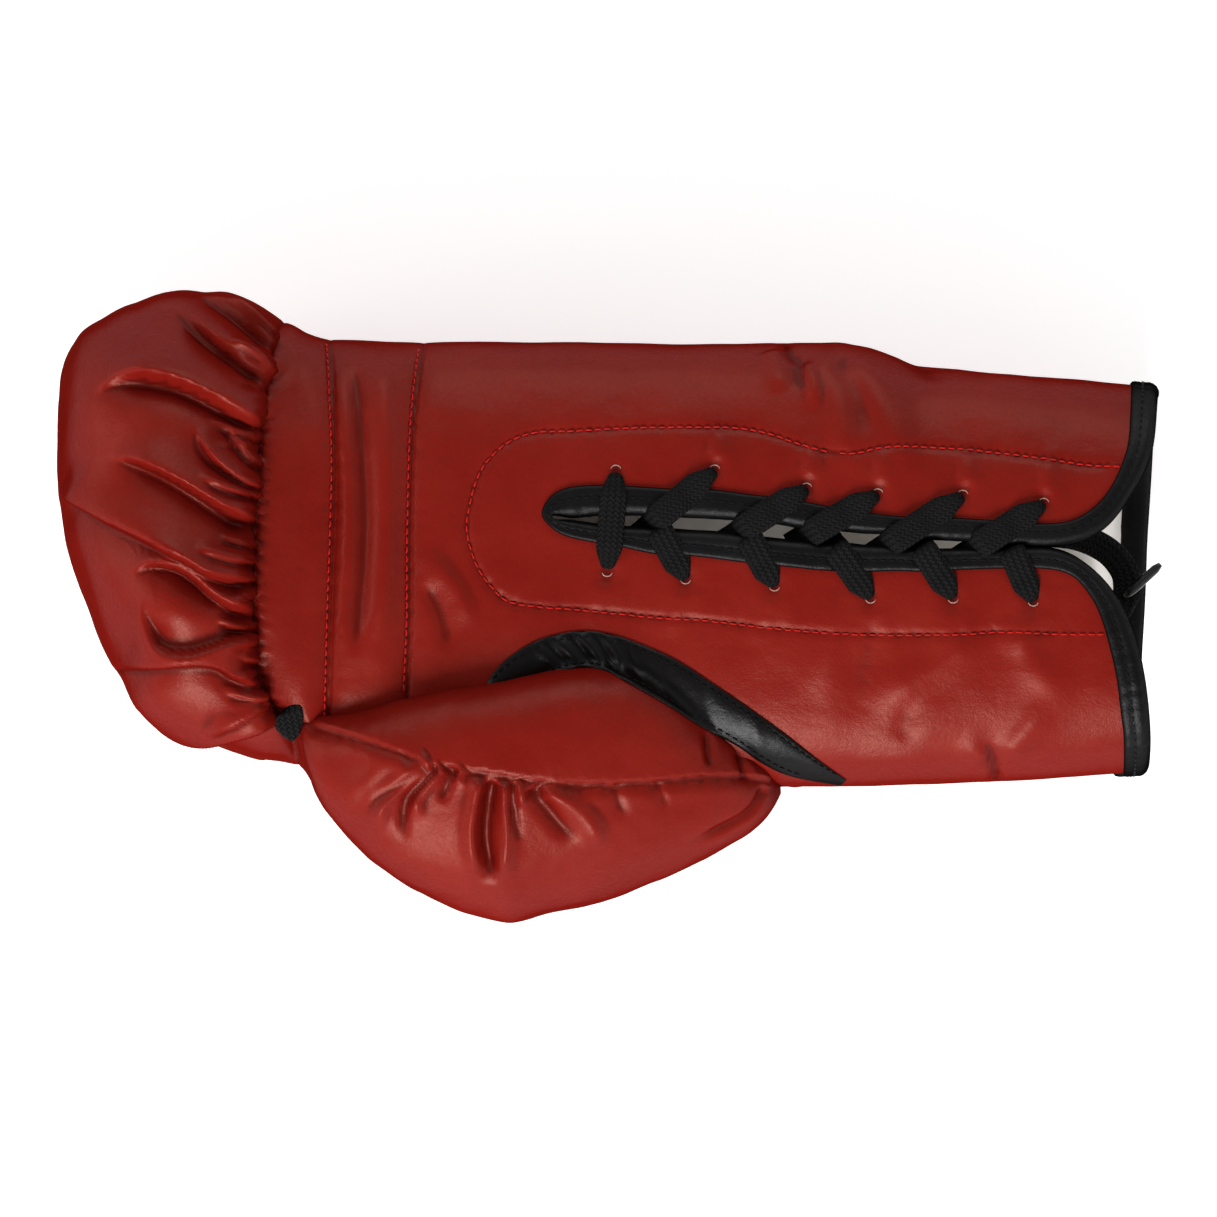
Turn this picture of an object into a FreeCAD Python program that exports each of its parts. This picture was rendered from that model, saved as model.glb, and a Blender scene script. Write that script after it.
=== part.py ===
import FreeCAD, Part
import math
import os

# Lace-up boxing glove for the left hand, lying on its back with the palm side up.
# Millimetres. +X runs from the knuckles to the cuff mouth, -Y is the thumb (radial) side,
# +Y the ulnar side, +Z points out of the palm. The origin is the middle of the footprint,
# on the plane that the flattened back of the glove rests on.
# Everything is modelled about the middle height of the hand and moved into place on saving.

V = FreeCAD.Vector
os.makedirs("parts", exist_ok=True)

# ---------------------------------------------------------------- driving sizes
MID_Z = 62.0                    # height of the hand's mid plane above the rest plane
PLACEMENT = V(-0.5, 0.25, MID_Z)    # centres the footprint and lifts it onto the rest plane
SKIN = 1.4                      # leather thickness
GAP = 0.3                       # clearance between neighbouring layers
FACING = 1.0                    # reinforcement under the lace holes
LINING = 1.0
FOAM_OFF = SKIN + GAP           # foam surface, inward of the outer surface
THREAD = 0.7                    # side of the square sewing thread
THREAD_LIFT = 1.1               # thread centre above the palm surface
HOLE_R = 2.0                    # punched lace hole
LINING_HOLE_R = 2.6             # lace hole through the flap lining
LACE_W, LACE_T = 7.4, 1.1       # flat braided lace
DROP_W, DROP_T = 2.6, 1.2       # lace gathered to pass down a hole

KNUCKLE_X, KNUCKLE_Z = -82.0, 0.0        # finger flex axis, along Y
WRIST_X, WRIST_Z = 66.0, 0.0             # wrist flex axis, along Y
KNUCKLE_OPEN, KNUCKLE_CURL = 10.0, 5.0   # degrees
WRIST_SWING = 10.0                       # degrees each way
BEND_MARGIN = 0.4                        # degrees added to each bend

SEAM_X = -101.5         # finger shell meets the front palm roll
SEAM_Z = 12.0           # underside of the front palm roll
ROLL_X = -57.0          # rear palm roll meets the palm panel
SEAM_HALF = 0.2         # half the gap at a leather seam
FOAM_SEAM_HALF = 0.4    # half the gap at the palm foam seam
PAD_BACK_Z, PAD_PALM_Z = -13.0, 12.0     # back pads end, palm pads begin
FLAP_SPLIT_Y = 19.5     # between the two cuff flaps

# smallest solid volume kept in a piece
KEEP, KEEP_SMALL, KEEP_THREAD = 2.0, 0.5, 0.2

# outer surface: x, y low, y high, z back, z palm
OUTER = [
    (-165.0, 22, 66, -14, 18), (-162.0, 6, 74, -30, 32), (-155.0, -9, 81, -46, 43),
    (-142.0, -26, 88, -58, 51), (-125.0, -39, 93.0, -64.5, 54), (-110.0, -45, 90, -66, 50),
    (-101.0, -48, 86, -66, 40), (-92.0, -50, 83, -66, 37), (-82.0, -52, 81, -65.8, 36),
    (-70.0, -53, 80.3, -65.2, 36), (-57.0, -53.5, 80, -65.0, 34), (-35.0, -54, 80, -64.4, 31),
    (0.0, -54, 80, -61.4, 31), (35.0, -53.5, 80, -54.5, 33), (66.0, -53, 79, -45.5, 34),
    (90.0, -53, 74, -39.5, 34), (125.0, -51, 70, -36, 34), (160.0, -49, 67, -35, 33.5),
    (200.0, -47, 65, -35, 33.5),
]
# hand compartment, same columns
CAVITY = [
    (-143.0, 12, 56, -20, 10), (-140.0, 4, 60, -24, 16), (-130.0, -10, 62, -27, 22),
    (-112.0, -20, 62, -28, 25), (-95.0, -25, 60, -28, 25.5), (-82.0, -28, 58, -27, 25),
    (-57.0, -30, 57, -24, 23.0), (-20.0, -31, 57, -21, 22), (30.0, -31, 57, -21, 24),
    (66.0, -32, 57, -22, 25), (100.0, -34, 56, -23, 25.5), (130.0, -37, 57, -24, 26.5),
    (160.0, -40, 58.5, -26, 27.5), (200.0, -42, 60, -27, 28),
]
OUTER_END, CAVITY_END = 190.0, 195.0     # x where the lofts stop, beyond the mouth
OUTER_POWER, CAVITY_POWER, THUMB_POWER = 2.45, 2.6, 2.2     # superellipse exponents
# distances of the loft sections from the closed end, closest together there
STATION_STEPS = (0, 1.2, 3.5, 8, 15, 24, 34, 44, 54, 63, 72, 83, 97, 115, 140, 170, 200,
                 231, 260, 290, 325)


# ---------------------------------------------------------------- shape helpers
def table(rows, x, col):
    """Monotone cubic through one column of a section table."""
    n = len(rows)
    xs = [row[0] for row in rows]
    ys = [row[col] for row in rows]
    if x <= xs[0]:
        return ys[0]
    if x >= xs[-1]:
        return ys[-1]
    slopes = [(ys[i + 1] - ys[i]) / (xs[i + 1] - xs[i]) for i in range(n - 1)]
    tangents = [slopes[0]] + [0.0] * (n - 2) + [slopes[-1]]
    for i in range(1, n - 1):
        if slopes[i - 1] * slopes[i] > 0:
            before, after = xs[i] - xs[i - 1], xs[i + 1] - xs[i]
            w1, w2 = 2 * after + before, after + 2 * before
            tangents[i] = (w1 + w2) / (w1 / slopes[i - 1] + w2 / slopes[i])
    i = max(k for k in range(n - 1) if xs[k] <= x)
    h = xs[i + 1] - xs[i]
    t = (x - xs[i]) / h
    return (
        ys[i] * (1 + 2 * t) * (1 - t) ** 2
        + tangents[i] * h * t * (1 - t) ** 2
        + ys[i + 1] * t * t * (3 - 2 * t)
        + tangents[i + 1] * h * t * t * (t - 1)
    )


def closed_curve(pts):
    """A smooth closed wire with evenly numbered parameters, so neighbours loft cleanly."""
    curve = Part.BSplineCurve()
    params = [float(k) for k in range(len(pts) + 1)]
    curve.interpolate(Points=pts, PeriodicFlag=True, Parameters=params)
    return Part.Wire([curve.toShape()])


def unit_superellipse(count, power):
    """Points round a superellipse of half width 1, none of them on an axis."""
    pts = []
    for k in range(count):
        angle = 2 * math.pi * (k + 0.5) / count
        c, s = math.cos(angle), math.sin(angle)
        pts.append((math.copysign(abs(c) ** (2 / power), c),
                    math.copysign(abs(s) ** (2 / power), s)))
    return pts


def oval(x, y_low, y_high, z_back, z_palm, power):
    """A section whose palm and back halves have their own heights."""
    y_mid, half_w = (y_low + y_high) / 2, (y_high - y_low) / 2
    return closed_curve([
        V(x, y_mid + half_w * u, (z_palm if w > 0 else -z_back) * w)
        for u, w in unit_superellipse(20, power)
    ])


def body(rows, off, power, x_end):
    """The solid inside a section table, off mm inward of it."""
    x_start = rows[0][0] + off
    stations = [x_start + step for step in STATION_STEPS if x_start + step < x_end - 8]
    wires = []
    for x in stations + [x_end]:
        # the inset along X fades out over the first 30 mm
        source_x = x - off * max(0.0, 1 - (x - x_start) / 30.0)
        wires.append(oval(
            x,
            table(rows, source_x, 1) + off,
            table(rows, source_x, 2) - off,
            table(rows, source_x, 3) + off,
            table(rows, source_x, 4) - off,
            power,
        ))
    return Part.makeLoft(wires, True, False)


def box(x0=-400, x1=400, y0=-300, y1=300, z0=-300, z1=300):
    """A box that reaches well past the glove on every side not given."""
    return Part.makeBox(x1 - x0, y1 - y0, z1 - z0, V(x0, y0, z0))


made = {}               # lofts already built, by kind and offset


def outer(off):
    """The glove's outer body, off mm inward, with the back flattened where it rests."""
    if ("outer", off) not in made:
        solid = body(OUTER, off, OUTER_POWER, OUTER_END)
        made["outer", off] = solid.common(box(z0=-MID_Z + off))
    return made["outer", off]


def cavity(off):
    """The hand compartment, off mm inward."""
    if ("cavity", off) not in made:
        made["cavity", off] = body(CAVITY, off, CAVITY_POWER, CAVITY_END)
    return made["cavity", off]


def top_z(x, y):
    """Height of the palm-side outer surface."""
    y_low, y_high = table(OUTER, x, 1), table(OUTER, x, 2)
    y_mid, half_w = (y_low + y_high) / 2, (y_high - y_low) / 2
    r = min(1.0, abs(y - y_mid) / half_w)
    return table(OUTER, x, 4) * (1 - r**OUTER_POWER) ** (1 / OUTER_POWER)


def on_palm(x, y, lift):
    return V(x, y, top_z(x, y) + lift)


PRISM_BASE, PRISM_HEIGHT = -150.0, 300.0


def curved_prism(pts, tail):
    """Vertical prism on a smooth run of points closed by a straight tail."""
    run = [V(x, y, PRISM_BASE) for x, y in pts]
    curve = Part.BSplineCurve()
    curve.interpolate(run)
    corners = [run[-1]] + [V(x, y, PRISM_BASE) for x, y in tail] + [run[0]]
    lines = [Part.LineSegment(a, b).toShape() for a, b in zip(corners, corners[1:])]
    return Part.Face(Part.Wire([curve.toShape()] + lines)).extrude(V(0, 0, PRISM_HEIGHT))


def polygon_prism(pts):
    """Vertical prism on a straight-sided outline."""
    corners = [V(x, y, PRISM_BASE) for x, y in pts]
    wire = Part.makePolygon(corners + [corners[0]])
    return Part.Face(wire).extrude(V(0, 0, PRISM_HEIGHT))


def wedge(x, z, up_deg, down_deg):
    """The bow-tie a bending line keeps free: up_deg above the axis, down_deg below."""
    height, waist = 120.0, 0.35          # reach either way, half width at the axis
    up = height * math.tan(math.radians(up_deg / 2)) + waist
    down = height * math.tan(math.radians(down_deg / 2)) + waist
    corners = [V(px, -200, pz) for px, pz in [
        (x - up, z + height), (x + up, z + height), (x + waist, z),
        (x + down, z - height), (x - down, z - height), (x - waist, z),
    ]]
    return Part.Face(Part.makePolygon(corners + [corners[0]])).extrude(V(0, 400, 0))


def flat_strip(frames, thick):
    """A flat strip through frames of (centre, across, width)."""
    wires = []
    for k, (centre, across, width) in enumerate(frames):
        before, after = frames[max(k - 1, 0)][0], frames[min(k + 1, len(frames) - 1)][0]
        along = (after - before).normalize()
        side = (across - along * across.dot(along)).normalize()
        up = side.cross(along).normalize()
        corners = [
            centre + side * (width / 2) + up * (thick / 2),
            centre - side * (width / 2) + up * (thick / 2),
            centre - side * (width / 2) - up * (thick / 2),
            centre + side * (width / 2) - up * (thick / 2),
        ]
        wires.append(Part.makePolygon(corners + [corners[0]]))
    return Part.makeLoft(wires, True, True)


def neighbours(pts, i):
    return pts[max(i - 1, 0)], pts[min(i + 1, len(pts) - 1)]


def thread_path(pts):
    """A sewing thread that follows the palm-side surface, square in section."""
    frames = []
    for i, (x, y) in enumerate(pts):
        p, q = neighbours(pts, i)
        across = V(-(q[1] - p[1]), q[0] - p[0], 0)
        frames.append((on_palm(x, y, THREAD_LIFT), across, THREAD))
    return flat_strip(frames, THREAD)


def save(name, shape, least=KEEP):
    """Writes the solids larger than least, moved to their place."""
    solids = [s for s in shape.Solids if s.Volume > least]
    piece = Part.makeCompound(solids) if len(solids) > 1 else solids[0]
    piece = piece.copy()
    piece.translate(PLACEMENT)
    piece.exportStep("parts/" + name + ".step")


# ---------------------------------------------------------------- outlines, as (x, y)
# edges of the bound lacing slot
EDGE_ULNAR = [
    (-15.5, 28.0), (6.8, 29.3), (33.6, 28.0), (60.5, 24.9), (87.5, 22.6), (110.0, 20.8),
    (128.0, 19.6), (137.0, 20.3), (145.0, 24.0), (152.0, 31.2), (157.6, 41.0), (161.5, 52.5),
    (163.2, 63.0), (164.0, 74.0),
]
EDGE_RADIAL = [
    (-15.5, 26.0), (6.8, 23.3), (33.6, 21.2), (60.5, 18.7), (87.0, 17.3), (110.0, 16.9),
    (128.0, 17.0), (137.0, 14.8), (145.0, 9.0), (151.5, 0.4), (156.2, -11.9),
    (159.0, -25.0), (160.9, -40.0), (161.5, -58.0),
]
# borders of the binding, away from the slot
BIND_ULNAR = [
    (-19.8, 29.5), (-15.5, 34.6), (-6.0, 36.7), (7.7, 36.5), (30.5, 35.2), (56.6, 31.9),
    (82.3, 28.2), (108.0, 26.5), (126.2, 25.5), (136.0, 26.2), (144.0, 30.2),
    (149.6, 37.2), (153.4, 46.0), (155.8, 57.0), (157.0, 68.0), (157.4, 76.0),
]
BIND_RADIAL = [
    (-19.0, 26.0), (-14.0, 21.9), (-3.0, 19.2), (14.5, 16.6), (40.0, 13.5), (69.5, 11.3),
    (95.0, 11.0), (116.6, 11.7), (128.0, 11.6), (136.0, 9.8), (142.5, 4.6), (147.0, -4.2),
    (150.2, -17.0), (152.8, -33.0), (154.6, -48.8), (155.2, -62.0),
]
# lace holes, from the palm to the mouth
HOLES_ULNAR = [(2.2, 41.0), (31.6, 41.0), (58.0, 35.8), (80.0, 34.1), (105.3, 33.6), (129.3, 31.3)]
HOLES_RADIAL = [(-0.4, 11.2), (22.9, 9.0), (49.3, 6.9), (77.8, 4.0), (102.3, 3.6), (126.1, 2.6)]
# stitched outline of the lace facing, from the ulnar side round the palm to the radial side
FACING_STITCH = [
    (151.0, 42.3), (138.0, 43.1), (120.0, 45.7), (102.5, 47.5), (87.5, 48.1), (72.5, 46.4),
    (57.0, 49.2), (39.5, 53.2), (20.0, 54.0), (0.0, 53.4), (-14.5, 52.7), (-24.5, 51.7),
    (-34.0, 46.3), (-39.8, 37.0), (-42.2, 24.6), (-40.2, 14.6), (-34.0, 5.6), (-25.0, 1.0),
    (-8.5, -0.5), (12.0, -2.6), (33.0, -4.4), (54.0, -6.4), (72.0, -7.6), (90.0, -8.0),
    (115.0, -7.6), (135.5, -7.7), (149.0, -7.6),
]
# the rim of the mouth
MOUTH = [(158.6, -70), (160.5, -25), (162.5, 1), (164.2, 40), (165.0, 90)]
# welt round the thumb's root: its two long sides, then the closing point
WELT = [
    (-33.0, -15.5), (-27.0, -11.4), (-18.5, -7.9), (-9.0, -6.4), (1.5, -7.4), (14.0, -11.8),
    (27.0, -19.0), (39.5, -28.5), (51.0, -36.4), (61.4, -43.8),
    (59.8, -47.6), (49.0, -44.2), (37.0, -36.8), (25.5, -29.2), (14.0, -21.8), (4.0, -17.6),
    (-6.0, -16.8), (-16.0, -17.6), (-24.0, -18.8), (-32.0, -20.8),
    (-34.0, -18.0),
]
FAR_X = 400             # where the slot and mouth regions end, past the glove


def offset_line(pts, distance):
    """A polyline moved to the left of its direction of travel."""
    moved = []
    for i, (x, y) in enumerate(pts):
        a, b = neighbours(pts, i)
        dx, dy = b[0] - a[0], b[1] - a[1]
        n = math.hypot(dx, dy)
        moved.append((x - dy / n * distance, y + dx / n * distance))
    return moved


def point_along(pts, share):
    """The point at a share of a polyline's length."""
    lengths = [0.0]
    for p, q in zip(pts, pts[1:]):
        lengths.append(lengths[-1] + math.hypot(q[0] - p[0], q[1] - p[1]))
    s = share * lengths[-1]
    for i in range(len(pts) - 1):
        if s <= lengths[i + 1] + 1e-9:
            t = (s - lengths[i]) / (lengths[i + 1] - lengths[i])
            (x0, y0), (x1, y1) = pts[i], pts[i + 1]
            return (x0 + t * (x1 - x0), y0 + t * (y1 - y0))


def mid_line(edge, border, share):
    """A line the given share of the way from border to edge, matched along their length."""
    line = []
    for k in range(15):
        p, q = point_along(edge, k / 14), point_along(border, k / 14)
        line.append((q[0] + share * (p[0] - q[0]), q[1] + share * (p[1] - q[1])))
    return line


def slot_region(ulnar, radial, nose):
    """The region between two lines, joined round the slot's nose, running past the mouth."""
    pts = list(reversed(ulnar)) + [nose] + radial
    return curved_prism(pts, [(FAR_X, pts[-1][1]), (FAR_X, pts[0][1])])


def slot_inside_binding(share, nose):
    return slot_region(mid_line(EDGE_ULNAR, BIND_ULNAR, share),
                       mid_line(EDGE_RADIAL, BIND_RADIAL, share), nose)


def facing_region(distance, y_ulnar, y_radial):
    """Inside the offset facing outline, squared off past its mouth end."""
    end_x = 158
    line = offset_line(FACING_STITCH, distance)[1:-1]
    return curved_prism([(end_x, y_ulnar)] + line + [(end_x, y_radial)],
                        [(FAR_X, y_radial), (FAR_X, y_ulnar)])


def mouth_region(inset):
    """Everything beyond the mouth edge, starting inset mm inside it."""
    return curved_prism([(x - inset, y) for x, y in MOUTH], [(FAR_X, 90), (FAR_X, -70)])


def holes(radius):
    """Cutters for all the lace holes."""
    cutter = None
    for x, y in HOLES_ULNAR + HOLES_RADIAL:
        hole = Part.makeCylinder(radius, 60.0, V(x, y, 5.0))
        cutter = hole if cutter is None else cutter.fuse(hole)
    return cutter


# ---------------------------------------------------------------- shared regions
knuckle_gap = wedge(KNUCKLE_X, KNUCKLE_Z, KNUCKLE_CURL + BEND_MARGIN, KNUCKLE_OPEN + BEND_MARGIN)
wrist_gap = wedge(WRIST_X, WRIST_Z, WRIST_SWING + BEND_MARGIN, WRIST_SWING + BEND_MARGIN)
palm_half = box(z0=GAP)
back_half = box(z1=-GAP)
hand_block = box(x0=KNUCKLE_X, x1=WRIST_X).cut(knuckle_gap).cut(wrist_gap)
finger_block = box(x1=KNUCKLE_X).cut(knuckle_gap)
cuff_block = box(x0=WRIST_X, x1=185).cut(wrist_gap).cut(mouth_region(0.0))

opening = slot_region(EDGE_ULNAR, EDGE_RADIAL, (-17.0, 27.0))
bound_slot = slot_region(BIND_ULNAR, BIND_RADIAL, (-20.6, 27.6))
panel_cut = slot_inside_binding(0.62, (-18.4, 27.3))     # leather stops here, in the binding
groove_cut = slot_inside_binding(0.72, (-17.9, 27.3))
pad_cut = slot_region(offset_line(EDGE_ULNAR, 5.0), offset_line(EDGE_RADIAL, -5.0), (-22.0, 27.0))
lace_holes = holes(HOLE_R)
# thumb passage from the hand compartment into the thumb
passage = Part.makeCylinder(12.0, 70.0, V(52, -8, 2), V(-28, -52, 8))

# ---------------------------------------------------------------- whole layers
skin = outer(0.0).cut(outer(SKIN))
foam = outer(FOAM_OFF).cut(cavity(-(LINING + GAP)))
lining = cavity(-LINING).cut(cavity(0.0))
# reinforcement under the lace holes: a U round the slot
facing = outer(FOAM_OFF).cut(outer(FOAM_OFF + FACING)).common(palm_half)
facing = facing.common(facing_region(-1.5, 41.2, -6.0)).cut(panel_cut).cut(lace_holes)
# shallow pocket in the foam for the facing
facing_pocket = outer(SKIN).cut(outer(SKIN + 2 * GAP + FACING))
facing_pocket = facing_pocket.common(facing_region(0.8, 44.2, -9.6)).common(palm_half)

# bindings are channels that wrap an edge, standing proud of leather and lining
BIND_PROUD, BIND_INNER = 1.0, 2.4        # outward of OUTER, inward of CAVITY
bind_wall = outer(-BIND_PROUD).cut(cavity(BIND_INNER))
slot_binding = bind_wall.common(bound_slot).cut(opening)
slot_binding = slot_binding.cut(outer(-0.2).cut(cavity(1.2)).cut(groove_cut)).common(palm_half)


# ---------------------------------------------------------------- hand
def build_hand_leather():
    hand_skin = skin.common(hand_block)
    save("back_shell", hand_skin.common(back_half).cut(passage))
    palm_skin = hand_skin.common(palm_half).cut(passage)
    save("palm_roll_rear", palm_skin.common(box(x1=ROLL_X - SEAM_HALF)))
    panel = palm_skin.common(box(x0=ROLL_X + SEAM_HALF))
    save("palm_panel", panel.cut(panel_cut).cut(lace_holes))
    save("lace_facing_palm", facing.common(hand_block))
    save("slot_binding_palm", slot_binding.common(hand_block))


def build_hand_padding():
    hand_foam = foam.common(hand_block)
    save("back_pad", hand_foam.common(box(z1=PAD_BACK_Z)).cut(passage))
    sides = hand_foam.common(box(z0=PAD_BACK_Z + GAP, z1=PAD_PALM_Z - GAP)).cut(passage)
    save("ulnar_edge_pad", sides.common(box(y0=20)))
    save("radial_edge_pad", sides.common(box(y1=0)))
    palm = hand_foam.common(box(z0=PAD_PALM_Z)).cut(facing_pocket).cut(pad_cut).cut(passage)
    save("palm_roll_filler", palm.common(box(x1=ROLL_X - FOAM_SEAM_HALF)))
    pad = palm.common(box(x0=ROLL_X + FOAM_SEAM_HALF))
    save("palm_pad", pad.cut(facing).cut(lace_holes))
    save("hand_lining", lining.common(hand_block).cut(pad_cut.common(palm_half)).cut(passage))


def build_thumb_welt():
    welt = outer(-1.5).cut(outer(-GAP)).common(polygon_prism(WELT))
    save("thumb_welt", welt.common(box(z0=2)).common(hand_block))


def build_hand_threads():
    stitches = [p for p in FACING_STITCH if p[0] < 58.0]
    save("facing_thread_palm", thread_path(stitches), KEEP_THREAD)
    seam = [(ROLL_X - 1.6, 70 - 6.5 * k) for k in range(13)]
    save("roll_thread_rear", thread_path(seam), KEEP_THREAD)


# ---------------------------------------------------------------- lace
def y_at(pts, x):
    """Height in Y of a polyline at x, which must lie within it."""
    for (x0, y0), (x1, y1) in zip(pts, pts[1:]):
        if x0 <= x <= x1:
            return y0 + (y1 - y0) * (x - x0) / (x1 - x0)


def slot_point(x, shift):
    """A point in the slot, shift mm towards +Y from its middle."""
    return (x, (y_at(EDGE_ULNAR, x) + y_at(EDGE_RADIAL, x)) / 2 + shift)


def hole_drop(hole, lift, across):
    """Lace going down a hole, from lift mm above the surface."""
    return flat_strip([(on_palm(*hole, lift), across, DROP_W),
                       (on_palm(*hole, -3.0), across, DROP_W)], DROP_T)


def strand(hole, start):
    """One lace run: out of the slot at start, over the binding, down into the hole."""
    hx, hy = hole
    sx, sy = start
    direction = V(hx - sx, hy - sy, 0).normalize()
    across = V(-direction.y, direction.x, 0)
    frames = []
    # share of the run, height of the centre line above the palm, width
    for share, lift, width in ((0.0, 2.6, LACE_W), (0.3, 2.7, LACE_W),
                               (0.62, 2.3, LACE_W * 0.93), (0.86, 1.7, LACE_W * 0.6)):
        x, y = sx + (hx - sx) * share, sy + (hy - sy) * share
        frames.append((on_palm(x, y, lift), across, width))
    run = flat_strip(frames, LACE_T)
    # joins the end of the run to the drop
    bridge = flat_strip([
        (frames[-1][0] - direction, across, LACE_W * 0.55),
        (on_palm(hx, hy, 1.5) + direction * 0.5, across, DROP_W)], LACE_T)
    return run.fuse(bridge).fuse(hole_drop(hole, 1.55, across))


def strand_ulnar(k):
    hole = HOLES_ULNAR[k]
    setback = 6.0 if k == 3 else 12.0
    return strand(hole, slot_point(hole[0] - setback, 1.6))


def strand_radial(k):
    hole = HOLES_RADIAL[k]
    return strand(hole, slot_point(hole[0] - 4.0, -3.2))


def crossbar():
    """The straight lace run between the first pair of holes."""
    across = V(1, 0, 0)
    (ux, uy), (rx, ry) = HOLES_ULNAR[0], HOLES_RADIAL[0]

    def bar_point(share, lift):
        return on_palm(rx + (ux - rx) * share, ry + (uy - ry) * share, lift)

    widths = ((0.10, 5.0), (0.25, LACE_W), (0.5, LACE_W), (0.75, LACE_W), (0.9, 5.0))
    bar = flat_strip([(bar_point(share, 2.5), across, w) for share, w in widths], LACE_T)
    for hole, share, sign in ((HOLES_RADIAL[0], 0.10, 1), (HOLES_ULNAR[0], 0.90, -1)):
        bar = bar.fuse(flat_strip([
            (on_palm(*hole, 1.9) - V(0, 0.5 * sign, 0), across, DROP_W),
            (bar_point(share, 2.4) + V(0, 0.6 * sign, 0), across, 4.6)], LACE_T))
        bar = bar.fuse(hole_drop(hole, 2.1, across))
    return bar


def save_lace(name, runs):
    save(name, Part.makeCompound([s for run in runs for s in run.Solids]), KEEP_THREAD)


def build_lace():
    palm_runs = [strand_ulnar(k) for k in (1, 2)] + [strand_radial(k) for k in (1, 2)]
    save_lace("lace_palm_crossings", [crossbar()] + palm_runs)
    save_lace("lace_ulnar_crossings", [strand_ulnar(k) for k in (3, 4, 5)])
    save_lace("lace_radial_crossings", [strand_radial(k) for k in (3, 4, 5)])


def build_lace_end():
    """The lace end lying in the mouth, and its aglet."""
    end_w = LACE_W * 0.9
    tail = flat_strip([
        (V(120.0, 17.0, 17.5), V(0, 1, 0.1), LACE_W),
        (V(132.0, 15.0, 17.0), V(0, 1, 0.1), LACE_W),
        (V(144.0, 12.0, 16.6), V(0, 1, 0), LACE_W),
        (V(152.5, 8.5, 16.0), V(0, 1, 0), end_w)], LACE_T)
    tip = flat_strip([
        (V(152.0, 8.7, 16.0), V(0, 1, 0), end_w),
        (V(155.2, 6.8, 16.2), V(0, 1, 0), 2.2)], 1.3)
    save("lace_end", tail.fuse(tip), KEEP_SMALL)
    aglet_start = V(156.4, 6.9, 16.45)
    aglet_run = V(165.4, 13.0, 19.0) - aglet_start
    aglet = Part.makeCone(1.25, 1.05, aglet_run.Length, aglet_start, aglet_run)
    save("lace_aglet", aglet, KEEP_SMALL)


# ---------------------------------------------------------------- finger block
def build_finger_shells():
    front_skin = skin.common(finger_block)
    save("palm_roll_front", front_skin.common(box(x0=SEAM_X + SEAM_HALF, z0=SEAM_Z)))
    roll_clear = box(x0=SEAM_X - SEAM_HALF, z0=SEAM_Z - 2 * SEAM_HALF)
    save("finger_shell", front_skin.cut(roll_clear))
    seam = [(KNUCKLE_X - 2.6, 72 - 6.4 * k) for k in range(16)]
    save("roll_thread_front", thread_path(seam), KEEP_THREAD)


def build_finger_padding():
    front_foam = foam.common(finger_block)
    save("knuckle_pad", front_foam.common(box(z1=PAD_BACK_Z)))
    save("finger_side_pad", front_foam.common(box(z0=PAD_BACK_Z + GAP, z1=PAD_PALM_Z - GAP)))
    save("finger_top_pad", front_foam.common(box(z0=PAD_PALM_Z)))
    save("finger_lining", lining.common(finger_block))


def build_grip_bar():
    """A bar along Y across the hand compartment, with a sleeve round it."""
    core_r, sleeve_wall = 7.0, 1.0

    def rod(radius, length, y_start):
        return Part.makeCylinder(radius, length, V(-99.0, y_start, 11.0), V(0, 1, 0))

    within = cavity(0.6)
    save("grip_bar_core", rod(core_r, 120.0, -42.0).common(within))
    sleeve = rod(core_r + GAP + sleeve_wall, 72.0, -18.0).cut(rod(core_r + GAP, 120.0, -42.0))
    save("grip_bar_sleeve", sleeve.common(within))


# ---------------------------------------------------------------- thumb
# x, centre y, centre z, half width, half height, tilt in degrees (+Y edge up)
THUMB = [
    (-91.5, -33.5, 25.0, 2.5, 3.5, 10), (-89.0, -38.0, 23.5, 10.0, 9.0, 12),
    (-83.0, -44.0, 21.0, 17.0, 15.0, 14), (-76.0, -49.0, 19.5, 22.5, 19.0, 16),
    (-66.0, -53.5, 18.5, 28.0, 22.5, 17), (-52.0, -56.5, 18.0, 33.5, 25.0, 18),
    (-36.0, -57.2, 17.5, 36.8, 26.5, 18), (-20.0, -56.4, 17.0, 36.6, 27.0, 18),
    (-4.0, -55.2, 16.0, 34.0, 26.0, 17), (12.0, -55.0, 14.5, 29.8, 24.0, 15),
    (27.0, -56.0, 12.5, 22.8, 20.0, 12), (40.0, -56.8, 10.0, 14.5, 14.5, 8),
    (49.0, -57.0, 8.0, 7.5, 8.5, 4),
]
# seam between the two thumb panels, as (x, y)
THUMB_SEAM = [
    (-93, -34.2), (-84, -35.2), (-79, -36.2), (-62.5, -41), (-53.5, -44.5), (-44.5, -46.5),
    (-32.5, -48), (-20.5, -50), (-5.5, -51), (9.5, -50.5), (27.5, -49.5), (41, -49.5),
    (48.5, -51), (70, -52),
]
THUMB_AXIS = [(-68, -66.5, 13), (-40, -71, 13), (-10, -71.5, 12), (20, -70, 10)]  # x, y, z
THUMB_CLEAR = 2.6       # keeps the thumb off the palm and its welt
TAB_Y, TAB_W, TAB_T = -35.0, 6.6, 1.2


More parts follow.
